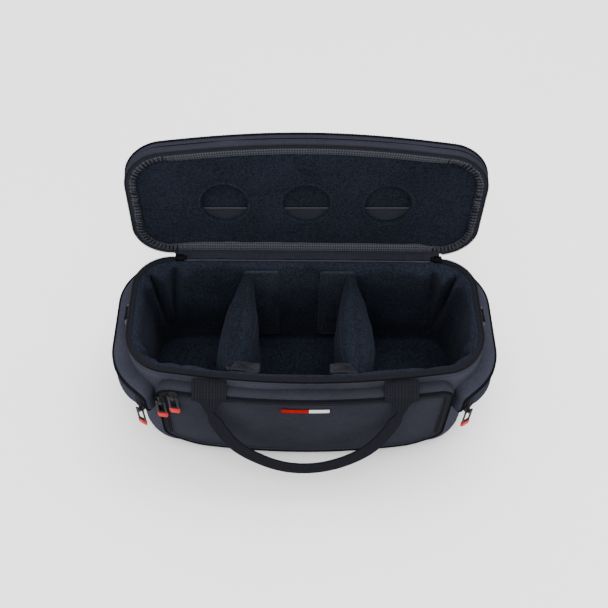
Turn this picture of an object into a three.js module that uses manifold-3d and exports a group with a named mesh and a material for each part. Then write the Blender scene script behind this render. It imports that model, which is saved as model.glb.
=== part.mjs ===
import * as THREE from 'three';
import { mergeVertices } from 'three/addons/utils/BufferGeometryUtils.js';
import Module from 'manifold-3d';

// Soft padded carry bag with a zip lid, standing open. Millimetres, +Z up, front towards -Y.

// Driving dimensions of the body
const WIDTH = 404;
const DEPTH = 150;
const HEIGHT = 172;
const CORNER = 50;
const FRONT_BOW = 20;
const FABRIC = 1.2;
const GAP = 0.3;
const FOAM = 8;
const BINDING_H = 6;
const BASE_BOARD = 2;

// Driving dimensions of the lid
const LID_HEIGHT = 18;
const LID_LIFT = 6;
const OPEN_DEG = 94;
const HINGE_Y = DEPTH / 2 + 2;
const HINGE_Z = HEIGHT + 3;
const WINDOW_R = 26.5;
const WINDOW_PITCH = 93;
const WINDOW_Y = -5;
const TAPE_WIDTH = 13;

// Pockets
const FRONT_POCKET_X = 164;
const FRONT_POCKET_D = 14;
const FRONT_POCKET_TOP = HEIGHT - 15;
const SIDE_POCKET_X = 171;
const SIDE_POCKET_D = 19;
const SIDE_POCKET_TOP = HEIGHT - 30;
const SIDE_POCKET_BASE = 74;
const POCKET_BASE = 14;
const ZIP_W = 10;

// Handles
const HANDLE_X = 106;
const WEB_W = 38;
const WEB_T = 2.5;
const GRIP_W = 19;
const GRIP_T = 6;
const HANDLE_DROP = 104;
const FRONT_PIVOT_OUT = 19;
const FRONT_PIVOT_Z = HEIGHT - 14;
const BACK_PIVOT_OUT = 6;
const BACK_PIVOT_Z = HEIGHT - 32;

const wasm = await Module();
wasm.setup();

const bag = new THREE.Group();
bag.name = 'padded_zip_bag';

const INNER = FABRIC + GAP + FOAM + GAP;
const LINED = INNER + FABRIC;

// ---------- helpers ----------

function material(color, roughness, metalness = 0) {
  return new THREE.MeshStandardMaterial({ color, roughness, metalness });
}

const OUTER = [0x15141a, 0.75];
const LINING = [0x14151d, 0.9];
const FOAMY = [0x2a2a2c, 0.95];
const TAPE = [0x55545c, 0.85];
const BLACK = [0x0b0b0d, 0.55];

function add(name, geometry, look, metalness = 0) {
  const mesh = new THREE.Mesh(geometry, material(look[0], look[1], metalness));
  mesh.name = name;
  bag.add(mesh);
  return mesh;
}

function fromTriangles(points, faces) {
  const geometry = new THREE.BufferGeometry();
  geometry.setAttribute('position', new THREE.Float32BufferAttribute(points.flat(), 3));
  geometry.setIndex(faces.flat());
  geometry.computeVertexNormals();
  return geometry;
}

function toManifold(geometry) {
  const bare = new THREE.BufferGeometry();
  bare.setAttribute('position', geometry.getAttribute('position').clone());
  if (geometry.index) {
    bare.setIndex(geometry.index.clone());
  }
  const merged = mergeVertices(bare, 1e-4);
  const mesh = new wasm.Mesh({
    numProp: 3,
    vertProperties: new Float32Array(merged.getAttribute('position').array),
    triVerts: new Uint32Array(merged.index.array),
  });
  return new wasm.Manifold(mesh);
}

function fromManifold(solid) {
  const mesh = solid.getMesh();
  const geometry = new THREE.BufferGeometry();
  const position = new THREE.BufferAttribute(new Float32Array(mesh.vertProperties), 3);
  geometry.setAttribute('position', position);
  geometry.setIndex(new THREE.BufferAttribute(new Uint32Array(mesh.triVerts), 1));
  geometry.computeVertexNormals();
  return geometry;
}

function cut(body, ...tools) {
  let solid = toManifold(body);
  for (const tool of tools) {
    solid = solid.subtract(toManifold(tool));
  }
  return fromManifold(solid);
}

function join(...bodies) {
  let solid = toManifold(bodies[0]);
  for (const body of bodies.slice(1)) {
    solid = solid.add(toManifold(body));
  }
  return fromManifold(solid);
}

// Plan outline: rounded rectangle whose front side bows forward.
function bowed(x, y) {
  const weight = Math.min(Math.max(-y / (DEPTH / 2), 0), 1);
  return y - FRONT_BOW * Math.cos((Math.PI * x) / WIDTH) * weight;
}

function outline() {
  const points = [];
  const hx = WIDTH / 2 - CORNER;
  const hy = DEPTH / 2 - CORNER;
  const straight = (x0, y0, x1, y1, n) => {
    for (let i = 0; i < n; i += 1) {
      points.push([x0 + ((x1 - x0) * i) / n, y0 + ((y1 - y0) * i) / n]);
    }
  };
  const corner = (cx, cy, start, n) => {
    for (let i = 0; i < n; i += 1) {
      const a = start + ((Math.PI / 2) * i) / n;
      points.push([cx + CORNER * Math.cos(a), cy + CORNER * Math.sin(a)]);
    }
  };
  straight(0, -DEPTH / 2, hx, -DEPTH / 2, 6);
  corner(hx, -hy, -Math.PI / 2, 8);
  straight(WIDTH / 2, -hy, WIDTH / 2, hy, 2);
  corner(hx, hy, 0, 8);
  straight(hx, DEPTH / 2, -hx, DEPTH / 2, 4);
  corner(-hx, hy, Math.PI / 2, 8);
  straight(-WIDTH / 2, hy, -WIDTH / 2, -hy, 2);
  corner(-hx, -hy, Math.PI, 8);
  straight(-hx, -DEPTH / 2, 0, -DEPTH / 2, 6);
  const placed = points.map(([x, y]) => [x, bowed(x, y)]);
  return placed.map(([x, y], i) => {
    const a = placed[(i + placed.length - 1) % placed.length];
    const b = placed[(i + 1) % placed.length];
    const tx = b[0] - a[0];
    const ty = b[1] - a[1];
    const length = Math.hypot(tx, ty);
    return { x, y, nx: ty / length, ny: -tx / length };
  });
}

const PLAN = outline();

// Ring of plan points moved outwards by out, at height z.
function ring(out, z) {
  return PLAN.map((p) => [p.x + p.nx * out, p.y + p.ny * out, z]);
}

function bridge(faces, a, b, count) {
  for (let i = 0; i < count; i += 1) {
    const j = (i + 1) % count;
    faces.push([a + i, a + j, b + j]);
    faces.push([a + i, b + j, b + i]);
  }
}

// Closed body through stacked rings, first and last closed with a fan.
function loft(rings) {
  const count = rings[0].length;
  const points = rings.flat();
  const faces = [];
  for (let k = 0; k + 1 < rings.length; k += 1) {
    bridge(faces, k * count, (k + 1) * count, count);
  }
  const centre = (list) => [0, 1, 2].map((c) => list.reduce((s, p) => s + p[c], 0) / list.length);
  const first = points.push(centre(rings[0])) - 1;
  const last = points.push(centre(rings[rings.length - 1])) - 1;
  const top = (rings.length - 1) * count;
  for (let i = 0; i < count; i += 1) {
    const j = (i + 1) % count;
    faces.push([first, j, i]);
    faces.push([last, top + i, top + j]);
  }
  return fromTriangles(points, faces);
}

// Closed tube-like body through rings that return to the first.
function loop(rings) {
  const count = rings[0].length;
  const faces = [];
  rings.forEach((_, k) => bridge(faces, k * count, ((k + 1) % rings.length) * count, count));
  return fromTriangles(rings.flat(), faces);
}

// Part of the plan outline between two x positions, on the front or the back half.
function placeAt(x, half) {
  for (let i = 0; i < PLAN.length; i += 1) {
    const a = PLAN[i];
    const b = PLAN[(i + 1) % PLAN.length];
    const side = (a.y + b.y) / 2 < 0 ? 'front' : 'back';
    const crosses = (a.x - x) * (b.x - x) <= 0 && a.x !== b.x;
    if (side === half && crosses) {
      return i + (x - a.x) / (b.x - a.x);
    }
  }
  throw new Error('no outline point');
}

function planPoint(s) {
  const i = Math.floor(s) % PLAN.length;
  const f = s - Math.floor(s);
  const a = PLAN[i];
  const b = PLAN[(i + 1) % PLAN.length];
  const nx = a.nx * (1 - f) + b.nx * f;
  const ny = a.ny * (1 - f) + b.ny * f;
  const length = Math.hypot(nx, ny);
  return {
    x: a.x * (1 - f) + b.x * f,
    y: a.y * (1 - f) + b.y * f,
    nx: nx / length,
    ny: ny / length,
  };
}

function span(s0, s1) {
  const end = s1 > s0 ? s1 : s1 + PLAN.length;
  const list = [planPoint(s0)];
  for (let i = Math.floor(s0) + 1; i < end - 1e-6; i += 1) {
    list.push(planPoint(i));
  }
  list.push(planPoint(end));
  return list;
}

// Upright strip that follows the outline between two offsets.
function band(points, outA, outB, z0, z1) {
  const inner = points.map((p) => new THREE.Vector2(p.x + p.nx * outA, p.y + p.ny * outA));
  const outer = points.map((p) => new THREE.Vector2(p.x + p.nx * outB, p.y + p.ny * outB));
  const shape = new THREE.Shape([...inner, ...outer.reverse()]);
  const geometry = new THREE.ExtrudeGeometry(shape, { depth: z1 - z0, bevelEnabled: false });
  return geometry.translate(0, 0, z0);
}

function box(x0, x1, y0, y1, z0, z1) {
  const geometry = new THREE.BoxGeometry(x1 - x0, y1 - y0, z1 - z0);
  return geometry.translate((x0 + x1) / 2, (y0 + y1) / 2, (z0 + z1) / 2);
}

function flatRing(out, z0, z1) {
  return loft([ring(out, z0), ring(out, z1)]);
}

// ---------- body ----------

const SHELL_TOP = HEIGHT - BINDING_H;
add('body_shell', loft([
  ring(-7, 0),
  ring(-2, 2),
  ring(0, 7),
  ring(0, SHELL_TOP),
  ring(-FABRIC, SHELL_TOP),
  ring(-FABRIC, 7),
  ring(-FABRIC - 2, 2.9),
  ring(-7.5, FABRIC),
]), OUTER);

const BOARD_Z = FABRIC + GAP;
const PAD_Z = BOARD_Z + BASE_BOARD + GAP;
const LINING_Z = PAD_Z + FOAM + GAP;
const FLOOR_Z = LINING_Z + FABRIC;
add('base_board', flatRing(-8.2, BOARD_Z, BOARD_Z + BASE_BOARD), BLACK);
add('base_foam', flatRing(-INNER + 0.2, PAD_Z, PAD_Z + FOAM), FOAMY);

const HALF_FRONT = WIDTH / 2 - CORNER;
const FOAM_OUT = -FABRIC - GAP;
const FOAM_IN = FOAM_OUT - FOAM;
const FOAM_LOW = LINING_Z;
const cornerFR = placeAt(HALF_FRONT, 'front');
const cornerFL = placeAt(-HALF_FRONT, 'front');
const cornerBR = placeAt(HALF_FRONT, 'back');
const cornerBL = placeAt(-HALF_FRONT, 'back');
const SEAM = 0.06;
const foams = {
  foam_front: [cornerFL + SEAM, cornerFR - SEAM],
  foam_right: [cornerFR + SEAM, cornerBR - SEAM],
  foam_back: [cornerBR + SEAM, cornerBL - SEAM],
  foam_left: [cornerBL + SEAM, cornerFL - SEAM],
};
for (const [name, ends] of Object.entries(foams)) {
  add(name, band(span(...ends), FOAM_IN, FOAM_OUT, FOAM_LOW, SHELL_TOP), FOAMY);
}

add('body_lining', loft([
  ring(-INNER, LINING_Z),
  ring(-INNER, SHELL_TOP),
  ring(-LINED, SHELL_TOP),
  ring(-LINED, FLOOR_Z + 3),
  ring(-LINED - 3, FLOOR_Z),
]), LINING);

add('body_rim_binding', loop([
  ring(0, SHELL_TOP + GAP),
  ring(0.4, HEIGHT - 2),
  ring(-2, HEIGHT),
  ring(-LINED + 2, HEIGHT),
  ring(-LINED, HEIGHT - 2),
  ring(-LINED, SHELL_TOP + GAP),
]), OUTER);

// Two halves of the main zip, running round the front and both ends.
const ZIP_END_X = 146;
const zipRun = span(placeAt(-ZIP_END_X, 'back'), placeAt(ZIP_END_X, 'back') + PLAN.length);
add('body_zip_half', join(
  band(zipRun, -5.6, -0.5, HEIGHT + GAP, HEIGHT + 1.1),
  band(zipRun, -1.3, 0.7, HEIGHT + GAP, HEIGHT + 2.5),
), TAPE);

// ---------- pockets ----------

const frontRun = span(
  placeAt(-FRONT_POCKET_X, 'front'),
  placeAt(FRONT_POCKET_X, 'front') + PLAN.length,
);
const frontHollow = span(
  placeAt(-FRONT_POCKET_X + 1.6, 'front'),
  placeAt(FRONT_POCKET_X - 1.6, 'front') + PLAN.length,
);
const frontInset = span(
  placeAt(-FRONT_POCKET_X + ZIP_W, 'front'),
  placeAt(FRONT_POCKET_X - ZIP_W, 'front') + PLAN.length,
);
add('front_pocket_gusset', cut(
  band(frontRun, 0.4, FRONT_POCKET_D, POCKET_BASE, FRONT_POCKET_TOP),
  band(frontHollow, -4, FRONT_POCKET_D + 4, POCKET_BASE + 1.6, FRONT_POCKET_TOP - 1.6),
), OUTER);
const PANEL_IN = FRONT_POCKET_D + GAP;
const PANEL_OUT = PANEL_IN + 1.6;
const PANEL_TOP = FRONT_POCKET_TOP - ZIP_W;
add('front_pocket_panel', band(
  span(
    placeAt(-FRONT_POCKET_X + ZIP_W + GAP, 'front'),
    placeAt(FRONT_POCKET_X - ZIP_W - GAP, 'front') + PLAN.length,
  ),
  PANEL_IN,
  PANEL_OUT,
  POCKET_BASE,
  PANEL_TOP - GAP,
), OUTER);
add('front_pocket_zip', cut(
  band(frontRun, PANEL_IN, PANEL_OUT, POCKET_BASE, FRONT_POCKET_TOP),
  band(frontInset, PANEL_IN - 4, PANEL_OUT + 4, POCKET_BASE - 5, PANEL_TOP),
), BLACK);

function sidePocket(name, back, front) {
  const low = Math.min(back, front);
  const high = Math.max(back, front);
  const zipAtHigh = front > back;
  const zipSpan = 1.2;
  const run = span(low, high);
  const inset = span(low + 0.2, high - 0.2);
  add(`${name}_gusset`, cut(
    band(run, 0.4, SIDE_POCKET_D, SIDE_POCKET_BASE, SIDE_POCKET_TOP),
    band(inset, -4, SIDE_POCKET_D + 4, SIDE_POCKET_BASE + 1.6, SIDE_POCKET_TOP - 1.6),
  ), OUTER);
  const inA = SIDE_POCKET_D + GAP;
  const panel = zipAtHigh ? span(low, high - zipSpan - 0.03) : span(low + zipSpan + 0.03, high);
  const zip = zipAtHigh ? span(high - zipSpan, high) : span(low, low + zipSpan);
  add(`${name}_panel`, band(panel, inA, inA + 1.6, SIDE_POCKET_BASE, SIDE_POCKET_TOP), OUTER);
  add(`${name}_zip`, band(zip, inA, inA + 1.6, SIDE_POCKET_BASE, SIDE_POCKET_TOP), BLACK);
}

const leftBack = placeAt(-SIDE_POCKET_X, 'back');
const leftFront = placeAt(-SIDE_POCKET_X, 'front');
const rightBack = placeAt(SIDE_POCKET_X, 'back');
const rightFront = placeAt(SIDE_POCKET_X, 'front');
sidePocket('left_pocket', leftBack, leftFront);
sidePocket('right_pocket', rightBack, rightFront);

// ---------- zip sliders and pulls ----------

// Slider and pull in local axes: x along the side, y outwards, z up the zip.
function sliderBody(thin) {
  const base = box(-4.5, 4.5, 0.4, thin ? 2 : 3, -5, 5);
  const eye = new THREE.Shape([
    new THREE.Vector2(2 - (thin ? 1 : 0), -2.4),
    new THREE.Vector2(7.2, -2.4),
    new THREE.Vector2(7.2, 2.4),
    new THREE.Vector2(2 - (thin ? 1 : 0), 2.4),
  ]);
  eye.holes.push(new THREE.Path().absarc(5, 0, 1.5, 0, Math.PI * 2, true));
  const lug = new THREE.ExtrudeGeometry(eye, { depth: 6, bevelEnabled: false, curveSegments: 12 });
  const turn = new THREE.Matrix4().makeBasis(
    new THREE.Vector3(0, 1, 0),
    new THREE.Vector3(0, 0, 1),
    new THREE.Vector3(1, 0, 0),
  );
  lug.applyMatrix4(turn).translate(-3, 0, 0);
  return join(base, lug);
}

function pullBody(length) {
  const frame = box(-5.8, 5.8, 4.1, 5.9, -length, 0.9);
  const window = box(-3.6, 3.6, 2, 8, -length * 0.66, -0.9);
  return cut(frame, window);
}

function seat(geometry, point, normal) {
  const out = new THREE.Vector3(normal.nx, normal.ny, 0);
  const up = new THREE.Vector3(0, 0, 1);
  const side = new THREE.Vector3().crossVectors(out, up);
  const place = new THREE.Matrix4().makeBasis(side, out, up);
  place.setPosition(point.x, point.y, point.z);
  return geometry.applyMatrix4(place);
}

function zipPull(name, s, out, z, length, thin = false) {
  const p = planPoint(s);
  const at = { x: p.x + p.nx * out, y: p.y + p.ny * out, z };
  add(`${name}_slider`, seat(sliderBody(thin), at, p), BLACK);
  add(`${name}_pull`, seat(pullBody(length), at, p), BLACK);
}

const PULL_L = 34;
zipPull('front_left', placeAt(-FRONT_POCKET_X + 5, 'front'), PANEL_OUT, HEIGHT - 34, PULL_L);
zipPull('front_top', placeAt(-FRONT_POCKET_X + 20, 'front'), PANEL_OUT, HEIGHT - 20, PULL_L);
const SIDE_OUT = SIDE_POCKET_D + GAP + 1.6;
zipPull('left', leftFront - 0.55, SIDE_OUT, HEIGHT - 60, PULL_L);
zipPull('right', rightFront + 0.55, SIDE_OUT, HEIGHT - 60, PULL_L);
zipPull('main_left', placeAt(-157, 'back'), 0.4, HEIGHT - 9, 30);
zipPull('main_right', placeAt(157, 'back'), 0.4, HEIGHT - 9, 30);

// ---------- handles ----------

function wallY(x) {
  return bowed(x, -DEPTH / 2);
}

function tab(name, x, sideY, wall, pivotY, pivotZ) {
  const x0 = x - WEB_W / 2;
  const x1 = x + WEB_W / 2;
  const rise = 9;
  const end = pivotY - sideY * 1.7;
  const section = (y0, y1, z) => [
    [x0, y0, z],
    [x1, y1, z],
    [x1, y1, z + WEB_T],
    [x0, y0, z + WEB_T],
  ];
  const rings = [
    section(wall(x0), wall(x1), pivotZ + rise - WEB_T / 2),
    section(end, end, pivotZ - WEB_T / 2 + 0.8),
  ];
  if (sideY > 0) {
    rings.reverse();
  }
  add(name, loft(rings), BLACK);
}

const FRONT_PIVOT_Y = wallY(HANDLE_X) - FRONT_PIVOT_OUT;
const BACK_PIVOT_Y = DEPTH / 2 + BACK_PIVOT_OUT;
const frontWall = (x) => wallY(x) - 0.4;
const backWall = () => DEPTH / 2 + 0.4;
tab('front_tab_left', -HANDLE_X, -1, frontWall, FRONT_PIVOT_Y, FRONT_PIVOT_Z);
tab('front_tab_right', HANDLE_X, -1, frontWall, FRONT_PIVOT_Y, FRONT_PIVOT_Z);
tab('back_tab_left', -HANDLE_X, 1, backWall, BACK_PIVOT_Y, BACK_PIVOT_Z);
tab('back_tab_right', HANDLE_X, 1, backWall, BACK_PIVOT_Y, BACK_PIVOT_Z);

// Webbing handle hanging in a plane tilted out from the wall; folded narrower over the grip.
function handle(name, sideY, pivotY, pivotZ, tiltDeg) {
  const half = [
    [-HANDLE_X, 2.6],
    [-HANDLE_X + 1, 22],
    [-HANDLE_X + 12, 58],
    [-64, 88],
    [-26, 101],
    [0, HANDLE_DROP],
  ];
  const mirrored = half.slice(0, -1).map(([x, d]) => [-x, d]).reverse();
  const curve = new THREE.CatmullRomCurve3(
    [...half, ...mirrored].map(([x, d]) => new THREE.Vector3(x, d, 0)),
  );
  const tilt = THREE.MathUtils.degToRad(tiltDeg);
  const rings = [];
  const steps = 30;
  for (let i = 0; i <= steps; i += 1) {
    const u = i / steps;
    const p = curve.getPoint(u);
    const t = curve.getTangent(u);
    if (i === 0 || i === steps) {
      t.set(0, i === 0 ? 1 : -1, 0);
    }
    const fold = THREE.MathUtils.smoothstep(Math.min(u, 1 - u), 0.01, 0.12);
    const w = THREE.MathUtils.lerp(WEB_W, GRIP_W, fold) / 2;
    const h = THREE.MathUtils.lerp(WEB_T, GRIP_T, fold) / 2;
    const section = [[-w, -h * 0.5], [-w * 0.9, -h], [w * 0.9, -h], [w, -h * 0.5],
      [w, h * 0.5], [w * 0.9, h], [-w * 0.9, h], [-w, h * 0.5]];
    rings.push(section.map(([a, b]) => {
      const x = p.x - t.y * a;
      const d = p.y + t.x * a;
      const y = pivotY + sideY * (d * Math.sin(tilt) + b * Math.cos(tilt));
      const z = pivotZ - d * Math.cos(tilt) + b * Math.sin(tilt);
      return [x, y, z];
    }));
  }
  if (sideY < 0) {
    rings.reverse();
  }
  add(name, loft(rings), BLACK);
}

handle('front_handle', -1, FRONT_PIVOT_Y, FRONT_PIVOT_Z, 20);
handle('back_handle', 1, BACK_PIVOT_Y, BACK_PIVOT_Z, 15);

// ---------- D-rings ----------

const RING_R = 12;
const RING_WIRE = 1.6;
const RING_Z = HEIGHT - 9;
const RING_OUT = 4.4;

function dRing(name, side) {
  const x = side * (WIDTH / 2 + RING_OUT);
  const path = [];
  for (let i = 0; i <= 14; i += 1) {
    const a = Math.PI + (Math.PI * i) / 14;
    path.push([RING_R * Math.cos(a), -2 + RING_R * Math.sin(a)]);
  }
  path.push([RING_R, 0], [-RING_R, 0]);
  const rings = path.map(([y, z], i) => {
    const a = path[(i + path.length - 1) % path.length];
    const b = path[(i + 1) % path.length];
    const inA = Math.atan2(z - a[1], y - a[0]);
    const inB = Math.atan2(b[1] - z, b[0] - y);
    let mid = (inB - inA) / 2;
    mid = Math.atan2(Math.sin(mid), Math.cos(mid));
    if (Math.abs(mid) > Math.PI / 2) {
      mid -= Math.sign(mid) * Math.PI;
    }
    const dir = inA + mid;
    const stretch = 1 / Math.cos(mid);
    const wire = [];
    for (let k = 0; k < 10; k += 1) {
      const w = (Math.PI * 2 * k) / 10;
      const across = RING_WIRE * Math.cos(w) * stretch;
      wire.push([
        x + RING_WIRE * Math.sin(w),
        y - Math.sin(dir) * across,
        RING_Z + z + Math.cos(dir) * across,
      ]);
    }
    return wire;
  });
  add(name, loop(rings), [0x101012, 0.35], 0.6);
  const tabShape = new THREE.Shape([
    new THREE.Vector2(0.4, -4),
    new THREE.Vector2(RING_OUT + 3.2, -4),
    new THREE.Vector2(RING_OUT + 3.2, 4),
    new THREE.Vector2(0.4, 6),
  ]);
  tabShape.holes.push(new THREE.Path().absarc(RING_OUT, 0, 2.1, 0, Math.PI * 2, true));
  const tabBody = new THREE.ExtrudeGeometry(tabShape, {
    depth: 18,
    bevelEnabled: false,
    curveSegments: 12,
  });
  const turn = new THREE.Matrix4().makeBasis(
    new THREE.Vector3(side, 0, 0),
    new THREE.Vector3(0, 0, 1),
    new THREE.Vector3(0, -side, 0),
  );
  tabBody.applyMatrix4(turn);
  tabBody.translate(side * (WIDTH / 2), side * 9, RING_Z);
  add(`${name}_tab`, tabBody, BLACK);
}

dRing('d_ring_left', -1);
dRing('d_ring_right', 1);

// ---------- dividers ----------

const DIVIDER_T = 12;
const FLAP_T = 4;
const FLAP_L = 40;
const DIVIDER_TOP = HEIGHT - 14;
const BACK_FACE = DEPTH / 2 - LINED - 0.4;

function divider(name, side, frontX, backX) {
  const face = (x) => wallY(x) + LINED + 0.7;
  const half = DIVIDER_T / 2;
  const points = [];
  for (let i = 0; i <= 4; i += 1) {
    const x = frontX - half + ((FLAP_L + half) * i) / 4;
    points.push([x, face(x)]);
  }
  for (let i = 4; i >= 1; i -= 1) {
    const x = frontX + half + ((FLAP_L - half) * (i - 1)) / 3;
    points.push([x, face(x) + FLAP_T]);
  }
  points.push([backX + half, BACK_FACE - FLAP_T]);
  points.push([backX + FLAP_L, BACK_FACE - FLAP_T]);
  points.push([backX + FLAP_L, BACK_FACE]);
  points.push([backX - half, BACK_FACE]);
  const shape = new THREE.Shape(points.map(([x, y]) => new THREE.Vector2(-side * x, y)));
  const low = FLOOR_Z + 3.3;
  const height = DIVIDER_TOP - low;
  const body = new THREE.ExtrudeGeometry(shape, { depth: height, bevelEnabled: false });
  add(name, body.translate(0, 0, low), LINING);
}

divider('divider_left', -1, -85, -65);
divider('divider_right', 1, -69, -55);

// ---------- label ----------

const labelY = (x) => wallY(x) - PANEL_OUT;
const LABEL_X = 24;
const labelZ = PANEL_TOP - 9;
add('label_tag', loft([1.2, 0.3].map((out) => [
  [LABEL_X, labelY(LABEL_X) - out, labelZ - 7],
  [0, labelY(0) - out, labelZ - 7],
  [-LABEL_X, labelY(LABEL_X) - out, labelZ - 7],
  [-LABEL_X, labelY(LABEL_X) - out, labelZ],
  [0, labelY(0) - out, labelZ],
  [LABEL_X, labelY(LABEL_X) - out, labelZ],
])), [0x9c2424, 0.7]);

// ---------- hinge ----------

const LEAF_X = 144;
add('body_hinge_leaf', box(
  -LEAF_X,
  LEAF_X,
  DEPTH / 2 + 0.5,
  DEPTH / 2 + 1.6,
  HEIGHT - 15,
  HEIGHT + 1.2,
), OUTER);

// ---------- lid, built closed and then swung open ----------

const lidTurn = new THREE.Matrix4()
  .makeTranslation(0, HINGE_Y, HINGE_Z)
  .multiply(new THREE.Matrix4().makeRotationX(THREE.MathUtils.degToRad(-OPEN_DEG)))
  .multiply(new THREE.Matrix4().makeTranslation(0, -HINGE_Y, -HINGE_Z));

function addLid(name, geometry, look) {
  add(name, geometry.applyMatrix4(lidTurn), look);
}

const LID_Z = HEIGHT + LID_LIFT;
const LID_TOP = LID_Z + LID_HEIGHT;

addLid('lid_hinge_leaf', box(
  -LEAF_X,
  LEAF_X,
  DEPTH / 2 + 0.5,
  DEPTH / 2 + 1.6,
  HINGE_Z + 1.8,
  HINGE_Z + 15,
), OUTER);

addLid('lid_shell', loft([
  ring(-FABRIC - 2, LID_TOP - FABRIC),
  ring(-FABRIC, LID_TOP - FABRIC - 2),
  ring(-FABRIC, LID_Z),
  ring(0, LID_Z),
  ring(0, LID_TOP - 2),
  ring(-2, LID_TOP),
]), OUTER);

addLid('lid_piping', loop([
  ring(0.3, LID_TOP - 4.5),
  ring(2.3, LID_TOP - 4.5),
  ring(2.3, LID_TOP - 2.5),
  ring(0.3, LID_TOP - 2.5),
]), BLACK);

addLid('lid_zip_half', join(
  band(zipRun, -5.6, -0.5, LID_Z - 1.4, LID_Z - 0.5),
  band(zipRun, -1.3, 0.7, LID_Z - 2.7, LID_Z - 0.5),
), TAPE);

// Side wall padding, then the layers of the lid from the lining outwards.
const LINING_FACE = LID_Z + 2.6;
addLid('lid_wall_foam', loop([
  ring(-5.2, LID_Z + 0.8),
  ring(-1.5, LID_Z + 0.8),
  ring(-1.5, LID_TOP - 4),
  ring(-5.2, LID_TOP - 4),
]), FOAMY);
const BEVEL_OUT = -5.6;
addLid('lid_binding_tape', loop([
  ring(BEVEL_OUT, LID_Z + 0.6),
  ring(BEVEL_OUT, LID_Z + 2.0),
  ring(BEVEL_OUT - TAPE_WIDTH, LINING_FACE - 0.4),
  ring(BEVEL_OUT - TAPE_WIDTH, LINING_FACE - 1.8),
]), TAPE);

const LAYER_OUT = -8;
function windowPlug(x, r, z0, z1) {
  const plug = new THREE.CylinderGeometry(r, r, z1 - z0, 32);
  plug.rotateX(Math.PI / 2);
  return plug.translate(x, WINDOW_Y, (z0 + z1) / 2);
}
const windows = [-WINDOW_PITCH, 0, WINDOW_PITCH];
function layer(out, z0, z1) {
  return flatRing(out, z0, z1);
}
addLid('lid_lining', cut(
  layer(BEVEL_OUT - 3, LINING_FACE, LINING_FACE + FABRIC),
  ...windows.map((x) => windowPlug(x, WINDOW_R, LINING_FACE - 5, LINING_FACE + 5)),
), LINING);
const PAD_IN = LINING_FACE + FABRIC + GAP;
addLid('lid_pad', cut(
  layer(LAYER_OUT, PAD_IN, PAD_IN + 4),
  ...windows.map((x) => windowPlug(x, WINDOW_R + 0.4, PAD_IN - 5, PAD_IN + 9)),
), FOAMY);
['left', 'middle', 'right'].forEach((side, i) => {
  const profile = [
    [WINDOW_R - 2.2, LINING_FACE - 1.4],
    [WINDOW_R + 2, LINING_FACE - 1.4],
    [WINDOW_R + 2, LINING_FACE - 0.3],
    [WINDOW_R - 0.3, LINING_FACE - 0.3],
    [WINDOW_R - 0.3, PAD_IN + 3.6],
    [WINDOW_R - 2.2, PAD_IN + 3.6],
  ].map(([r, z]) => new THREE.Vector2(r, z));
  profile.push(profile[0].clone());
  const trim = new THREE.LatheGeometry(profile, 32);
  trim.rotateX(Math.PI / 2);
  addLid(`window_trim_${side}`, trim.translate(windows[i], WINDOW_Y, 0), OUTER);
});
const MESH_Z = PAD_IN + 4 + GAP;
addLid('lid_pocket_mesh', cut(
  layer(LAYER_OUT, MESH_Z, MESH_Z + 0.8),
  box(-WIDTH, WIDTH, -DEPTH - 60, WINDOW_Y + 8, MESH_Z - 5, MESH_Z + 5),
), BLACK);
const BACKING_Z = MESH_Z + 0.8 + GAP;
addLid('lid_backing', layer(LAYER_OUT, BACKING_Z, BACKING_Z + 1), LINING);
const STIFF_Z = BACKING_Z + 1 + GAP;
addLid('lid_board', layer(LAYER_OUT, STIFF_Z, STIFF_Z + 1.8), BLACK);
const LIDFOAM_Z = STIFF_Z + 1.8 + GAP;
addLid('lid_foam', layer(LAYER_OUT, LIDFOAM_Z, LID_TOP - FABRIC - GAP), FOAMY);

export default bag;
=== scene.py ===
import math

import bmesh
import bpy
import numpy as np
from mathutils import Matrix, Vector
from mathutils.geometry import delaunay_2d_cdt


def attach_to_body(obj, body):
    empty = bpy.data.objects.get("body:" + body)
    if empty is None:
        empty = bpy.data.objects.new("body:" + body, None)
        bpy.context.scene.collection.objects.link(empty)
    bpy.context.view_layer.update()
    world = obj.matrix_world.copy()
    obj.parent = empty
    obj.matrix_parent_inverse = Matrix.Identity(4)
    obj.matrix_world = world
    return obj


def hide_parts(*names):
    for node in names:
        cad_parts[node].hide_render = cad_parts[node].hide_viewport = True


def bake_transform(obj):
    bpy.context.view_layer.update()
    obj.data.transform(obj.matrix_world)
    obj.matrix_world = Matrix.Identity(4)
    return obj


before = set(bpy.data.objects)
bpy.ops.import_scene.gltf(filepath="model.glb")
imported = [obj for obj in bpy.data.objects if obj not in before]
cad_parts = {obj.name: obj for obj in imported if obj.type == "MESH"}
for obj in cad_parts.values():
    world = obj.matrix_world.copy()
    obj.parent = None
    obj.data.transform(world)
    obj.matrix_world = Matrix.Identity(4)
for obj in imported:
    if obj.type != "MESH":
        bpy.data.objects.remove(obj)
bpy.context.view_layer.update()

MM = 0.001
PATCH_CENTRE = 0.004
RING_CENTRE = 0.0005

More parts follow.
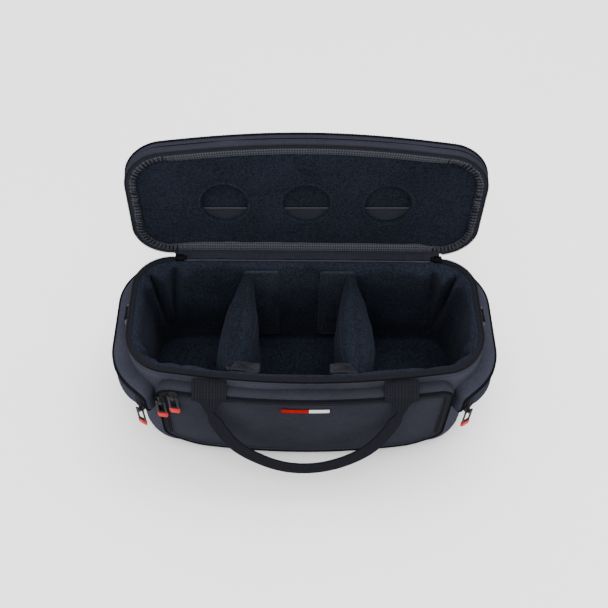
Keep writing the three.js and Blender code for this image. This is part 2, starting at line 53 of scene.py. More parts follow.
# ---- dimensions, mm
W, D, H = 404.0, 150.0, 172.0
CORNER = 43.0
BOW = 20.0
LINED = 11.0
FLOOR_Z = 13.5
HINGE_Y, HINGE_Z = D / 2 + 2, H + 3
OPEN = math.radians(-94)
LID_Z = H + 6
LID_H = 18.0
LINING_FACE = LID_Z + 2.6
WINDOW_PITCH, WINDOW_Y = 93.0, -5.0
WINDOW_SHAPE = np.array([1.0, 1.07])
HANDLE_X = 106.0
WEB = 38.0
FRONT_PIVOT_Z = H - 14
BACK_PIVOT_Z = H - 32
FRONT_POCKET_D, FRONT_POCKET_TOP = 14.0, H - 15
SIDE_POCKET_D, SIDE_POCKET_TOP, SIDE_POCKET_BASE = 19.0, H - 30, 74.0
FRONT_POCKET_X, SIDE_POCKET_X = 164, 171
POCKET_ZIP_INSET = 6.5
POCKET_PULL, MAIN_PULL = 34, 30
PANEL_OUT = FRONT_POCKET_D + 1.9
SIDE_OUT = SIDE_POCKET_D + 1.9


# ---- plan outline
def bowed(x, y):
    """The front half of the plan swells forwards."""
    weight = np.clip(-y / (D / 2), 0, 1)
    return y - BOW * np.cos(np.pi * x / W) * weight


def dense_outline():
    hx, hy = W / 2 - CORNER, D / 2 - CORNER
    runs = []

    def straight(x0, y0, x1, y1, n):
        t = np.arange(n) / n
        runs.append(np.c_[x0 + (x1 - x0) * t, y0 + (y1 - y0) * t])

    def corner(cx, cy, start, n):
        a = start + np.pi / 2 * np.arange(n) / n
        runs.append(np.c_[cx + CORNER * np.cos(a), cy + CORNER * np.sin(a)])

    straight(0, -D / 2, hx, -D / 2, 150)
    corner(hx, -hy, -np.pi / 2, 90)
    straight(W / 2, -hy, W / 2, hy, 50)
    corner(hx, hy, 0, 90)
    straight(hx, D / 2, -hx, D / 2, 300)
    corner(-hx, hy, np.pi / 2, 90)
    straight(-W / 2, hy, -W / 2, -hy, 50)
    corner(-hx, -hy, np.pi, 90)
    straight(-hx, -D / 2, 0, -D / 2, 150)
    p = np.vstack(runs)
    p[:, 1] = bowed(p[:, 0], p[:, 1])
    step = np.hypot(*(np.roll(p, -1, 0) - p).T)
    arc = np.r_[0, np.cumsum(step)]
    tangent = np.roll(p, -3, 0) - np.roll(p, 3, 0)
    tangent /= np.hypot(*tangent.T)[:, None]
    normal = np.c_[tangent[:, 1], -tangent[:, 0]]
    return p, normal, arc


PLAN_P, PLAN_N, PLAN_S = dense_outline()
PER = PLAN_S[-1]


def plan(s):
    s = np.mod(np.asarray(s, float), PER)
    loop_p = np.vstack([PLAN_P, PLAN_P[:1]])
    loop_n = np.vstack([PLAN_N, PLAN_N[:1]])
    p = np.stack([np.interp(s, PLAN_S, loop_p[:, k]) for k in (0, 1)], -1)
    n = np.stack([np.interp(s, PLAN_S, loop_n[:, k]) for k in (0, 1)], -1)
    n /= np.linalg.norm(n, axis=-1, keepdims=True)
    return p, n


def s_at(x, half):
    """Length along the outline at x, on its front or back half."""
    side = PLAN_P[:, 1] < 0 if half == "front" else PLAN_P[:, 1] > 0
    gap = np.where(side, np.abs(PLAN_P[:, 0] - x), 1e9)
    s = PLAN_S[int(np.argmin(gap))]
    return s - PER if s > PER / 2 and half == "front" else s


def wrap(s, out, z):
    """Points at outline length s, a distance out from the wall and a height z."""
    p, n = plan(s)
    out = np.broadcast_to(out, p.shape[:-1])
    z = np.broadcast_to(z, p.shape[:-1])
    return np.stack([p[..., 0] + n[..., 0] * out, p[..., 1] + n[..., 1] * out, z], -1)


def outward(s):
    """Level directions pointing out of the wall."""
    return np.concatenate([plan(s)[1], np.zeros((len(s), 1))], 1)


def lid_turn(p):
    """Points of the shut lid, turned about the hinge to where the lid stands."""
    y, z = p[..., 1] - HINGE_Y, p[..., 2] - HINGE_Z
    c, s = math.cos(OPEN), math.sin(OPEN)
    return np.stack([p[..., 0], HINGE_Y + y * c - z * s, HINGE_Z + y * s + z * c], -1)


WAVES = {}


def wobble(p, wavelength, seed):
    """Smooth deterministic noise of about unit size, from summed waves."""
    key = (wavelength, seed)
    if key not in WAVES:
        rng = np.random.RandomState(seed)
        d = rng.normal(size=(9, 3))
        d /= np.linalg.norm(d, axis=1)[:, None]
        WAVES[key] = (d * 2 * np.pi / wavelength * rng.uniform(0.7, 1.5, (9, 1)),
                      rng.uniform(0, 6.28, 9))
    k, phase = WAVES[key]
    return np.sin(p @ k.T + phase).sum(-1) / 3.0


def bump(x, centre, width):
    return np.exp(-((x - centre) / width) ** 2)


def smooth(x, a, b):
    t = np.clip((x - a) / (b - a), 0, 1)
    return t * t * (3 - 2 * t)


# ---- mesh building
def place_object(name, data, material=None):
    """Object in the scene; a mesh is shaded smooth and gets its material."""
    if material is not None:
        data.polygons.foreach_set("use_smooth", [True] * len(data.polygons))
        data.update()
        data.materials.append(material)
    obj = bpy.data.objects.new(name, data)
    bpy.context.scene.collection.objects.link(obj)
    return obj


def make(name, verts, faces, material, uvs=None):
    mesh = bpy.data.meshes.new(name)
    mesh.from_pydata((np.asarray(verts) * MM).tolist(), [], [list(map(int, f)) for f in faces])
    if uvs is not None:
        layer = mesh.uv_layers.new(name="UVMap")
        layer.data.foreach_set("uv", (np.asarray(uvs, float) * MM).ravel())
    bm = bmesh.new()
    bm.from_mesh(mesh)
    bmesh.ops.recalc_face_normals(bm, faces=bm.faces)
    bm.to_mesh(mesh)
    bm.free()
    return place_object(name, mesh, material)


def grid(name, p, material, close_u=False, close_v=False, caps=False):
    """Mesh from p[v, u, xyz]; UVs are arc lengths in mm."""
    nv, nu = p.shape[:2]
    mid = p[nv // 2]
    du = np.linalg.norm(np.diff(np.vstack([mid, mid[:1]]), axis=0), axis=1)
    u_len = np.r_[0, np.cumsum(du)]
    col = p[:, nu // 2]
    dv = np.linalg.norm(np.diff(np.vstack([col, col[:1]]), axis=0), axis=1)
    v_len = np.r_[0, np.cumsum(dv)]
    faces, uvs = [], []
    for v in range(nv if close_v else nv - 1):
        v1 = (v + 1) % nv
        for u in range(nu if close_u else nu - 1):
            u1 = (u + 1) % nu
            faces.append((v * nu + u, v * nu + u1, v1 * nu + u1, v1 * nu + u))
            uvs += [(u_len[u], v_len[v]), (u_len[u + 1], v_len[v]),
                    (u_len[u + 1], v_len[v + 1]), (u_len[u], v_len[v + 1])]
    if caps:
        if close_v:
            ends = ([v * nu for v in range(nv)], [v * nu + nu - 1 for v in range(nv)])
        else:
            ends = (list(range(nu)), [(nv - 1) * nu + u for u in range(nu)])
        for end in ends:
            faces.append(end)
            uvs += [(0.0, 0.0)] * len(end)
    return make(name, p.reshape(-1, 3), faces, material, uvs)


def frames(path, normal, closed):
    if closed:
        t = np.roll(path, -1, 0) - np.roll(path, 1, 0)
    else:
        t = np.gradient(path, axis=0)
    t /= np.linalg.norm(t, axis=1)[:, None]
    n = normal - (normal * t).sum(1)[:, None] * t
    n /= np.linalg.norm(n, axis=1)[:, None]
    return np.cross(t, n), n


def sweep(name, path, normal, section, material, closed=False):
    """Closed section [(across, along normal)] carried along a path."""
    side, n = frames(path, normal, closed)
    section = np.asarray(section, float)
    p = path[None] + section[:, 0, None, None] * side[None] + section[:, 1, None, None] * n[None]
    return grid(name, p, material, close_u=closed, close_v=True, caps=not closed)


def round_section(width, height, n=12, power=0.5):
    a = np.linspace(0, 2 * np.pi, n, endpoint=False)
    c, s = np.cos(a), np.sin(a)
    return np.c_[np.sign(c) * np.abs(c) ** power * width / 2,
                 np.sign(s) * np.abs(s) ** power * height / 2]


def resample(path, normal, pitch, closed=False):
    if closed:
        path, normal = np.vstack([path, path[:1]]), np.vstack([normal, normal[:1]])
    arc = np.r_[0, np.cumsum(np.linalg.norm(np.diff(path, axis=0), axis=1))]
    count = max(int(arc[-1] / pitch), 1)
    at = (np.arange(count) + 0.5) * arc[-1] / count
    pick = lambda q: np.stack([np.interp(at, arc, q[:, k]) for k in range(3)], -1)
    ahead = np.stack([np.interp(at + 0.5, arc, path[:, k]) for k in range(3)], -1)
    p, n = pick(path), pick(normal)
    t = ahead - p
    t[-1] = t[-2] if len(t) > 1 else t[-1]
    return p, n / np.linalg.norm(n, axis=1)[:, None], t / (np.linalg.norm(t, axis=1)[:, None] + 1e-9)


def beads(name, path, normal, material, pitch, size, closed=False, slant=0.0):
    """Row of small rounded beads such as stitches or zip teeth: size is (along, across, out)."""
    p, n, t = resample(path, normal, pitch, closed)
    side = np.cross(t, n)
    if slant:
        c, s = math.cos(slant), math.sin(slant)
        t, side = t * c + side * s, side * c - t * s
    rings = [(-1.0, 0.0), (-0.75, 0.75), (0.0, 1.0), (0.75, 0.75), (1.0, 0.0)]
    seg = 6
    verts, faces, local = [], [], []
    for along, r in rings:
        for k in range(seg if r else 1):
            a = 2 * math.pi * k / seg
            local.append((along, r * math.cos(a), r * math.sin(a)))
    local = np.array(local) * np.array(size) / 2
    quads = []
    for k in range(seg):
        k1 = (k + 1) % seg
        quads.append((0, 1 + k1, 1 + k))
        for ring in range(2):
            a, b = 1 + ring * seg, 1 + (ring + 1) * seg
            quads.append((a + k, a + k1, b + k1, b + k))
        last = 1 + 2 * seg
        quads.append((last + k, last + k1, 1 + 3 * seg))
    for i in range(len(p)):
        base = i * len(local)
        verts.append(p[i] + local[:, :1] * t[i] + local[:, 1:2] * side[i] + local[:, 2:3] * n[i])
        faces += [tuple(base + q for q in f) for f in quads]
    return make(name, np.vstack(verts), faces, material)


def rounded_rect(a0, a1, b0, b1, radii):
    """Outline from the bottom left corner, anticlockwise. radii: bl, br, tr, tl."""
    bl, br, tr, tl = [max(r, 0.5) for r in radii]
    per_side, per_corner = 36, 14
    parts = []

    def line(p, q, n):
        t = np.arange(n)[:, None] / n
        parts.append(np.array(p) + (np.array(q) - np.array(p)) * t)

    def arc(cx, cy, r, start):
        a = start + np.pi / 2 * np.arange(per_corner) / per_corner
        parts.append(np.c_[cx + r * np.cos(a), cy + r * np.sin(a)])

    line((a0 + bl, b0), (a1 - br, b0), per_side)
    arc(a1 - br, b0 + br, br, -np.pi / 2)
    line((a1, b0 + br), (a1, b1 - tr), per_side // 2)
    arc(a1 - tr, b1 - tr, tr, 0)
    line((a1 - tr, b1), (a0 + tl, b1), per_side)
    arc(a0 + tl, b1 - tl, tl, np.pi / 2)
    line((a0, b1 - tl), (a0, b0 + bl), per_side // 2)
    arc(a0 + bl, b0 + bl, bl, np.pi)
    return np.vstack(parts)


def inset_rect(rect, radii, inset):
    a0, a1, b0, b1 = rect
    return rounded_rect(a0 + inset, a1 - inset, b0 + inset, b1 - inset, [r - inset for r in radii])


def patch(name, rect, radii, profile, depth_at, place, material, rings=22):
    """Domed panel. profile: (inset, depth) pairs from the wall outwards; inside, depth_at(a, b)."""
    rows = []
    for inset, depth in profile:
        ab = inset_rect(rect, radii, inset)
        rows.append(place(ab[:, 0], np.full(len(ab), depth), ab[:, 1]))
    last = inset_rect(rect, radii, profile[-1][0])
    centre = np.array([(rect[0] + rect[1]) / 2, (rect[2] + rect[3]) / 2])
    for k in range(1, rings + 1):
        ab = centre + (last - centre) * (1 - k / rings if k < rings else PATCH_CENTRE)
        blend = smooth(np.full(len(ab), k / rings), 0, 0.12)
        depth = profile[-1][1] * (1 - blend) + depth_at(ab[:, 0], ab[:, 1]) * blend
        rows.append(place(ab[:, 0], depth, ab[:, 1]))
    return grid(name, np.array(rows), material, close_u=True)


# ---- materials
class Nodes:
    """Small helper for building node materials."""

    def __init__(self, name, roughness, sheen=0.0, sheen_rough=0.5, metallic=0.0, specular=0.4):
        self.mat = bpy.data.materials.new(name)
        self.mat.use_nodes = True
        self.tree = self.mat.node_tree
        self.bsdf = self.tree.nodes["Principled BSDF"]
        self.set("Roughness", roughness)
        self.set("Metallic", metallic)
        self.set("Specular IOR Level", specular)
        self.set("Sheen Weight", sheen)
        self.set("Sheen Roughness", sheen_rough)

    def set(self, socket, value):
        self.bsdf.inputs[socket].default_value = value

    def node(self, kind, **facts):
        n = self.tree.nodes.new(kind)
        for key, value in facts.items():
            setattr(n, key, value)
        return n

    def link(self, a, b):
        self.tree.links.new(a, b)

    def coords(self, kind="Object"):
        return self.node("ShaderNodeTexCoord").outputs[kind]

    def noise(self, vector, scale, detail=3.0, rough=0.5):
        n = self.node("ShaderNodeTexNoise")
        n.inputs["Scale"].default_value = scale
        n.inputs["Detail"].default_value = detail
        n.inputs["Roughness"].default_value = rough
        self.link(vector, n.inputs["Vector"])
        return n.outputs["Fac"]

    def wave(self, vector, scale, direction="X", distortion=0.0):
        n = self.node("ShaderNodeTexWave", wave_type="BANDS", bands_direction=direction)
        n.inputs["Scale"].default_value = scale
        n.inputs["Distortion"].default_value = distortion
        self.link(vector, n.inputs["Vector"])
        return n.outputs["Fac"]

    def math(self, operation, a, b=0.5):
        n = self.node("ShaderNodeMath", operation=operation)
        for i, value in enumerate((a, b)):
            if isinstance(value, (int, float)):
                n.inputs[i].default_value = value
            else:
                self.link(value, n.inputs[i])
        return n.outputs[0]

    def ramp(self, fac, stops):
        n = self.node("ShaderNodeValToRGB")
        while len(n.color_ramp.elements) < len(stops):
            n.color_ramp.elements.new(0.5)
        for element, (at, colour) in zip(n.color_ramp.elements, stops):
            element.position = at
            element.color = (*colour, 1)
        self.link(fac, n.inputs["Fac"])
        return n.outputs["Color"]

    def mix(self, fac, a, b, mode="MIX"):
        n = self.node("ShaderNodeMix", data_type="RGBA", blend_type=mode)
        for socket, value in ((n.inputs["Factor"], fac), (n.inputs["A"], a), (n.inputs["B"], b)):
            if isinstance(value, (int, float)):
                socket.default_value = value
            elif isinstance(value, tuple):
                socket.default_value = (*value, 1)
            else:
                self.link(value, socket)
        return n.outputs["Result"]

    def colour(self, value):
        self.link(value, self.bsdf.inputs["Base Color"])

    def rough(self, value, low, high):
        n = self.node("ShaderNodeMapRange")
        n.inputs["To Min"].default_value = low
        n.inputs["To Max"].default_value = high
        self.link(value, n.inputs["Value"])
        self.link(n.outputs["Result"], self.bsdf.inputs["Roughness"])

    def relief(self, height, distance, strength=1.0):
        n = self.node("ShaderNodeBump")
        n.inputs["Distance"].default_value = distance
        n.inputs["Strength"].default_value = strength
        self.link(height, n.inputs["Height"])
        self.link(n.outputs["Normal"], self.bsdf.inputs["Normal"])


def scaled(colour, k):
    return tuple(c * k for c in colour)


def weave(name, colour, thread=0.0009, sheen=0.0, rough=(0.62, 0.8), depth=0.00035, contrast=0.35):
    """Plain woven cloth: crossing threads, mottled colour, faint slubs."""
    m = Nodes(name, 0.85, sheen=sheen, specular=0.0)
    uv = m.coords("UV")
    obj = m.coords("Object")
    k = 1.0 / thread / 6.283 * math.pi
    a = m.wave(uv, k, "X", 0.4)
    b = m.wave(uv, k, "Y", 0.4)
    check = m.math("MULTIPLY", a, b)
    either = m.math("MAXIMUM", a, b)
    threads = m.math("SUBTRACT", either, m.math("MULTIPLY", check, 0.6))
    mottle = m.noise(obj, 420, 4, 0.65)
    broad = m.noise(obj, 22, 3, 0.5)
    tone = m.math("ADD", m.math("MULTIPLY", mottle, 0.6), m.math("MULTIPLY", broad, 0.4))
    base = m.ramp(tone, [(0.3, scaled(colour, 1 - contrast)), (0.5, colour),
                         (0.72, scaled(colour, 1 + contrast))])
    m.colour(m.mix(m.math("MULTIPLY", threads, 0.35), base, scaled(colour, 1.5)))
    m.rough(mottle, *rough)
    height = m.math("ADD", m.math("MULTIPLY", threads, 0.6), m.math("MULTIPLY", mottle, 0.5))
    m.relief(height, depth)
    return m.mat


def brushed(name, colour, sheen=0.02, contrast=0.45):
    """Short-napped lining cloth with soft mottling."""
    m = Nodes(name, 0.95, sheen=sheen, sheen_rough=0.4, specular=0.0)
    m.set("Sheen Tint", (0.75, 0.8, 1.0, 1))
    obj = m.coords("Object")
    fine = m.noise(obj, 900, 5, 0.7)
    mid = m.noise(obj, 420, 3, 0.7)
    broad = m.noise(obj, 14, 3, 0.5)
    tone = m.math("ADD", m.math("MULTIPLY", fine, 0.42),
                  m.math("ADD", m.math("MULTIPLY", mid, 0.45), m.math("MULTIPLY", broad, 0.13)))
    m.colour(m.ramp(tone, [(0.42, scaled(colour, 1 - contrast)), (0.5, colour),
                           (0.58, scaled(colour, 1 + contrast * 1.3))]))
    m.relief(m.math("ADD", m.math("MULTIPLY", fine, 0.5), m.math("MULTIPLY", mid, 0.6)), 0.0011)
    return m.mat


def ribbed(name, colour, pitch, second=0.0, depth=0.0006, contrast=0.4, sheen=0.0):
    """Narrow woven tape or webbing: ribs at a pitch, with a finer cross rib."""
    m = Nodes(name, 0.85, sheen=sheen, specular=0.01)
    uv = m.coords("UV")
    obj = m.coords("Object")
    k = 1.0 / pitch / 6.283 * math.pi
    rib = m.wave(uv, k, "X", 0.3)
    if second:
        other = m.wave(uv, 1.0 / second / 6.283 * math.pi, "Y", 0.3)
        rib = m.math("ADD", m.math("MULTIPLY", rib, 0.6), m.math("MULTIPLY", other, 0.5))
    speck = m.noise(obj, 500, 4, 0.6)
    tone = m.math("ADD", m.math("MULTIPLY", rib, 0.55), m.math("MULTIPLY", speck, 0.45))
    m.colour(m.ramp(tone, [(0.2, scaled(colour, 1 - contrast)), (0.5, colour),
                           (0.8, scaled(colour, 1 + contrast))]))
    m.rough(speck, 0.6, 0.85)
    m.relief(tone, depth)
    return m.mat


def moulded(name, colour, rough=0.4, grain=0.0002, metallic=0.0, specular=0.5):
    """Moulded plastic or coated metal with a fine grain and slight wear."""
    m = Nodes(name, rough, metallic=metallic, specular=specular)
    obj = m.coords("Object")
    fine = m.noise(obj, 1800, 3, 0.6)
    worn = m.noise(obj, 160, 4, 0.6)
    m.colour(m.ramp(worn, [(0.35, scaled(colour, 0.8)), (0.55, colour), (0.8, scaled(colour, 1.5))]))
    m.rough(worn, rough * 0.8, min(rough * 1.4, 1))
    m.relief(fine, grain)
    return m.mat


CLOTH = weave("outer_cloth", (0.0185, 0.0190, 0.0265))
CLOTH_PANEL = weave("panel_cloth", (0.0200, 0.0204, 0.0275))
CLOTH_SIDE = weave("side_cloth", (0.0255, 0.0265, 0.0375))
CLOTH_BODY = weave("body_cloth", (0.0350, 0.0360, 0.0490))
PIPING = weave("piping_cloth", (0.0055, 0.0056, 0.0080), thread=0.0007)
# painted shade: a near-black copy of the tape cloth, used for the shadowed gaps between the gathered
# tape's pleats
TAPE_PAINTED_SHADE = weave("tape_painted_shade", (0.0085, 0.0090, 0.0115), thread=0.0007)
HINGE_CLOTH = weave("hinge_cloth", (0.0135, 0.0145, 0.0200))
TAG_RED = weave("tag_red", (0.26, 0.003, 0.003), thread=0.0006)
TAG_WHITE = weave("tag_white", (0.52, 0.50, 0.50), thread=0.0006)
MESH_EDGE = weave("mesh_edge", (0.040, 0.041, 0.047), thread=0.0007, sheen=0.03)
LINING = brushed("lining_cloth", (0.0102, 0.0122, 0.0185))
LINING_FLAP = brushed("flap_cloth", (0.0145, 0.0170, 0.0245))
LINING_LID = brushed("lid_lining_cloth", (0.0078, 0.0096, 0.0145))
TAPE = ribbed("binding_tape", (0.0300, 0.0310, 0.0380), 0.0044, 0.0056, depth=0.0012, contrast=0.6)
HOOK = ribbed("hook_tape", (0.0165, 0.0175, 0.0215), 0.0022, 0.0022, depth=0.001, contrast=0.7)
WEBBING = ribbed("webbing", (0.0082, 0.0085, 0.0112), 0.0022, 0.0040, depth=0.0009, contrast=0.5)
ZIP_TAPE = ribbed("zip_tape", (0.0105, 0.0108, 0.0145), 0.0012)
MESH = ribbed("pocket_mesh", (0.0140, 0.0160, 0.0215), 0.0016, 0.0016, depth=0.001, sheen=0.02)
TOOTH = moulded("zip_teeth", (0.0060, 0.0060, 0.0080), 0.6, specular=0.12)
PLASTIC = moulded("black_plastic", (0.005, 0.005, 0.006), 0.5, specular=0.14)
BOX_PLASTIC = moulded("zip_box_plastic", (0.004, 0.004, 0.005), 0.8, specular=0.02)
RED = moulded("red_grip", (0.46, 0.006, 0.004), 0.5, specular=0.12)
METAL = moulded("coated_wire", (0.020, 0.020, 0.023), 0.28, metallic=0.6)
THREAD = moulded("thread", (0.030, 0.031, 0.038), 0.9, specular=0.1)
THREAD_LINING = moulded("lining_thread", (0.020, 0.023, 0.032), 0.9, specular=0.1)


def attach(obj, body, slot, *nodes):
    """Say which body a piece rides on and the CAD nodes it stands for; the slot argument is not used.
    """
    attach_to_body(obj, body)
    if nodes:
        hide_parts(*nodes)
    return obj


def slab(name, outline, thick, material, holes=(), bevel=0.5, place=None):
    """Bevelled plate from a 2-D outline in (x, z), centred on y = 0, with optional holes."""
    bm = bmesh.new()
    loops = [outline, *holes]
    edges = []
    for loop in loops:
        ring = [bm.verts.new((x * MM, -thick / 2 * MM, z * MM)) for x, z in loop]
        edges += [bm.edges.new((ring[i], ring[(i + 1) % len(ring)])) for i in range(len(ring))]
    bmesh.ops.triangle_fill(bm, use_beauty=True, edges=edges)
    bmesh.ops.dissolve_limit(bm, angle_limit=0.01, verts=bm.verts, edges=bm.edges)
    made = bmesh.ops.extrude_face_region(bm, geom=bm.faces[:])
    moved = [v for v in made["geom"] if isinstance(v, bmesh.types.BMVert)]
    bmesh.ops.translate(bm, vec=(0, thick * MM, 0), verts=moved)
    bmesh.ops.recalc_face_normals(bm, faces=bm.faces)
    sharp = [e for e in bm.edges if len(e.link_faces) == 2 and e.calc_face_angle() > 0.9]
    if bevel:
        bmesh.ops.bevel(bm, geom=sharp, offset=bevel * MM, segments=2, affect="EDGES",
                        clamp_overlap=True)
    if place is not None:
        bm.transform(place)
    mesh = bpy.data.meshes.new(name)
    bm.to_mesh(mesh)
    bm.free()
    return place_object(name, mesh, material)


def rounded(x0, x1, z0, z1, r, n=5):
    pts = []
    for cx, cz, start in ((x1 - r, z0 + r, -90), (x1 - r, z1 - r, 0), (x0 + r, z1 - r, 90),
                          (x0 + r, z0 + r, 180)):
        for i in range(n + 1):
            a = math.radians(start + 90 * i / n)
            pts.append((cx + r * math.cos(a), cz + r * math.sin(a)))
    return pts


def seat_matrix(s, out, z):
    """Frame on the wall: x along it, y out of it, z up."""
    p, n = plan(np.array([s]))
    p, n = p[0] + n[0] * out, n[0]
    basis = Matrix(((n[1], n[0], 0), (-n[0], n[1], 0), (0, 0, 1))).to_4x4()
    return Matrix.Translation(Vector((p[0], p[1], z)) * MM) @ basis


# ---- body shell
N_AROUND = 520
S_ALL = np.linspace(0, PER, N_AROUND, endpoint=False)


def rings(profile, displace=None, turn=None, lift=None):
    """Rows of plan rings for (out, z) pairs. A third value shrinks the ring to the middle."""
    rows = []
    for item in profile:
        out, z = item[:2]
        p = wrap(S_ALL, out, z)
        if len(item) > 2:
            p[:, :2] *= item[2]
        rows.append(p)
    p = np.array(rows)
    if displace is not None:
        p = p + outward(S_ALL)[None] * displace(p)[..., None]
    if lift is not None:
        p[..., 2] += lift(p)
    return turn(p) if turn else p


def shell_profile():
    rows = [(-7, 0, f) for f in (RING_CENTRE, 0.25, 0.5, 0.75, 0.92)]
    rows += [(-7, 0), (-4, 0.5), (-1.8, 2.0), (-0.6, 4.4), (0, 8)]
    rows += [(1.9 * smooth(z, 60, 130), z) for z in np.arange(13.0, H - 24, 5)]
    rows += [(2.1, H - 22), (2.2, H - 18), (2.0, H - 14), (1.6, H - 10), (1.1, H - 7)]
    rows += [(0.7, H - 5), (0.4, H - 3), (0.2, H - 1.2), (-1, H - 0.3), (-2.4, H - 0.6), (-3, H - 3)]
    return rows


def shell_wobble(p):
    z = p[..., 2]
    mid = smooth(z, 6, 25) * (1 - smooth(z, H - 12, H - 4))
    soft = 0.9 * wobble(p, 95, 1) + 0.35 * wobble(p, 34, 2)
    return (soft - 0.4) * mid * 0.8


attach(grid("body_cloth", rings(shell_profile(), shell_wobble), CLOTH_BODY, close_u=True),
       "bag", "outer", "body_shell", "base_board")


def plan_path(s0, s1, out, z, n, turn=None):
    s = np.linspace(s0, s1, n)
    p = wrap(s, out, z)
    normal = outward(s)
    if turn:
        q = turn(p + normal)
        p = turn(p)
        normal = q - p
    return p, normal


def ring_path(out, z, turn=None):
    """Closed run of 700 points right round the plan."""
    return plan_path(0, PER * 699 / 700, out, z, 700, turn)


def facing(direction, p):
    return np.tile(np.asarray(direction, float), (len(p), 1))


UP, DOWN = (0, 0, 1.0), (0, 0, -1.0)

# Double stitch rows below the rim
for row, z in enumerate((H - 6.2, H - 9.0)):
    p, n = plan_path(0, PER, 1.5 + 0.3 * row, z, 900)
    attach(beads(f"rim_stitch_{row}", p, n, THREAD, 3.4, (2.5, 0.7, 0.6), closed=True),
           "bag", "outer")

# Zip half round the rim
ZIP_LEFT, ZIP_RIGHT = -154, 164
ZIP_PITCH, ZIP_TOOTH = 1.9, (1.25, 3.0, 2.0)
ZIP_END_PARTS = (("box", 10.0, 4.6, 8.0, 0), ("pin", 11.0, 3.0, 5.0, 3))
zip_a = s_at(ZIP_LEFT, "back")
zip_b = s_at(ZIP_RIGHT, "back") + PER
p = plan_path(zip_a, zip_b, -1.6, H + 0.9, 700)[0]
attach(sweep("rim_zip_tape", p, facing(UP, p), round_section(6.5, 1.0), ZIP_TAPE),
       "bag", "tape", "body_zip_half")
p = plan_path(zip_a, zip_b, 0.9, H + 1.7, 700)[0]
attach(beads("rim_zip_teeth", p, facing(UP, p), TOOTH, ZIP_PITCH, ZIP_TOOTH, slant=0.3),
       "bag", "plastic")

for k, (side, end) in enumerate(((-1, ZIP_LEFT + 3), (1, ZIP_RIGHT - 4))):
    seat = seat_matrix(s_at(end, "back"), -1.0, H + 2.7)
    for part, w, h, thick, shift in ZIP_END_PARTS:
        outline = rounded(-w / 2 - shift * side, w / 2 - shift * side, -h / 2, h / 2, 1.0)
        attach(slab(f"main_zip_{part}_{k}", outline, thick, BOX_PLASTIC, bevel=0.6, place=seat),
               "bag", "plastic")

# Padded lining with rolled top edge. Creases: place along the outline, depth, lean over the height
CREASES = [(s_at(x, half) % PER, depth, lean) for x, half, depth, lean in (
    (-189, "back", 9, 5), (-163, "back", 7, -6), (184, "back", 9, -6), (160, "back", 5, 4),
    (-183, "front", 6, -8), (186, "front", 6, 7), (-150, "front", 3, 9), (146, "front", 3, -8))]


def lining_relief(p):
    z = p[..., 2]
    s = np.broadcast_to(S_ALL, z.shape)
    rise = smooth(z, FLOOR_Z + 4, 60)
    top = 1 - smooth(z, H - 9, H - 2)
    total = -2.2 * wobble(p, 120, 5) * rise * top - 0.7 * wobble(p, 40, 6) * rise * top
    total += -3.0 * bump(z, H * 0.55, 70) * rise * top
    for centre, depth, lean in CREASES:
        at = centre + lean * (z - H * 0.7) / 40
        gap = np.mod(s - at + PER / 2, PER) - PER / 2
        strength = smooth(z, 25, H * 0.6) * (1 - 0.75 * smooth(z, H - 14, H - 3))
        total += strength * (depth * bump(gap, 0, 4.0) - depth * 0.75 * bump(np.abs(gap), 14, 9))
    return np.clip(total, -13, 8)


lining_profile = [(-LINED - 3, FLOOR_Z, f)
                  for f in (RING_CENTRE, 0.15, 0.3, 0.45, 0.6, 0.75, 0.87, 0.95)]
lining_profile += [(-LINED - 4, FLOOR_Z), (-LINED - 2, FLOOR_Z + 0.6), (-LINED - 0.6, FLOOR_Z + 2.4)]
lining_profile += [(-LINED, z) for z in np.arange(FLOOR_Z + 6, H - 9, 4.0)]
lining_profile += [(-LINED + 0.2, H - 7), (-LINED + 1.0, H - 4), (-LINED + 2.8, H - 1.6),
                   (-LINED + 5.2, H - 0.3), (-4.0, H + 0.2), (-2.6, H - 0.4)]
attach(grid("body_lining_cloth", rings(lining_profile, lining_relief), LINING, close_u=True),
       "bag", "lining", "body_lining", "foam_front", "foam_back", "foam_left", "foam_right",
       "base_foam")
attach(sweep("rim_piping", *ring_path(0.6, H - 1.6),
             round_section(2.6, 2.6, 10, 1.0), PIPING, closed=True),
       "bag", "outer", "body_rim_binding")


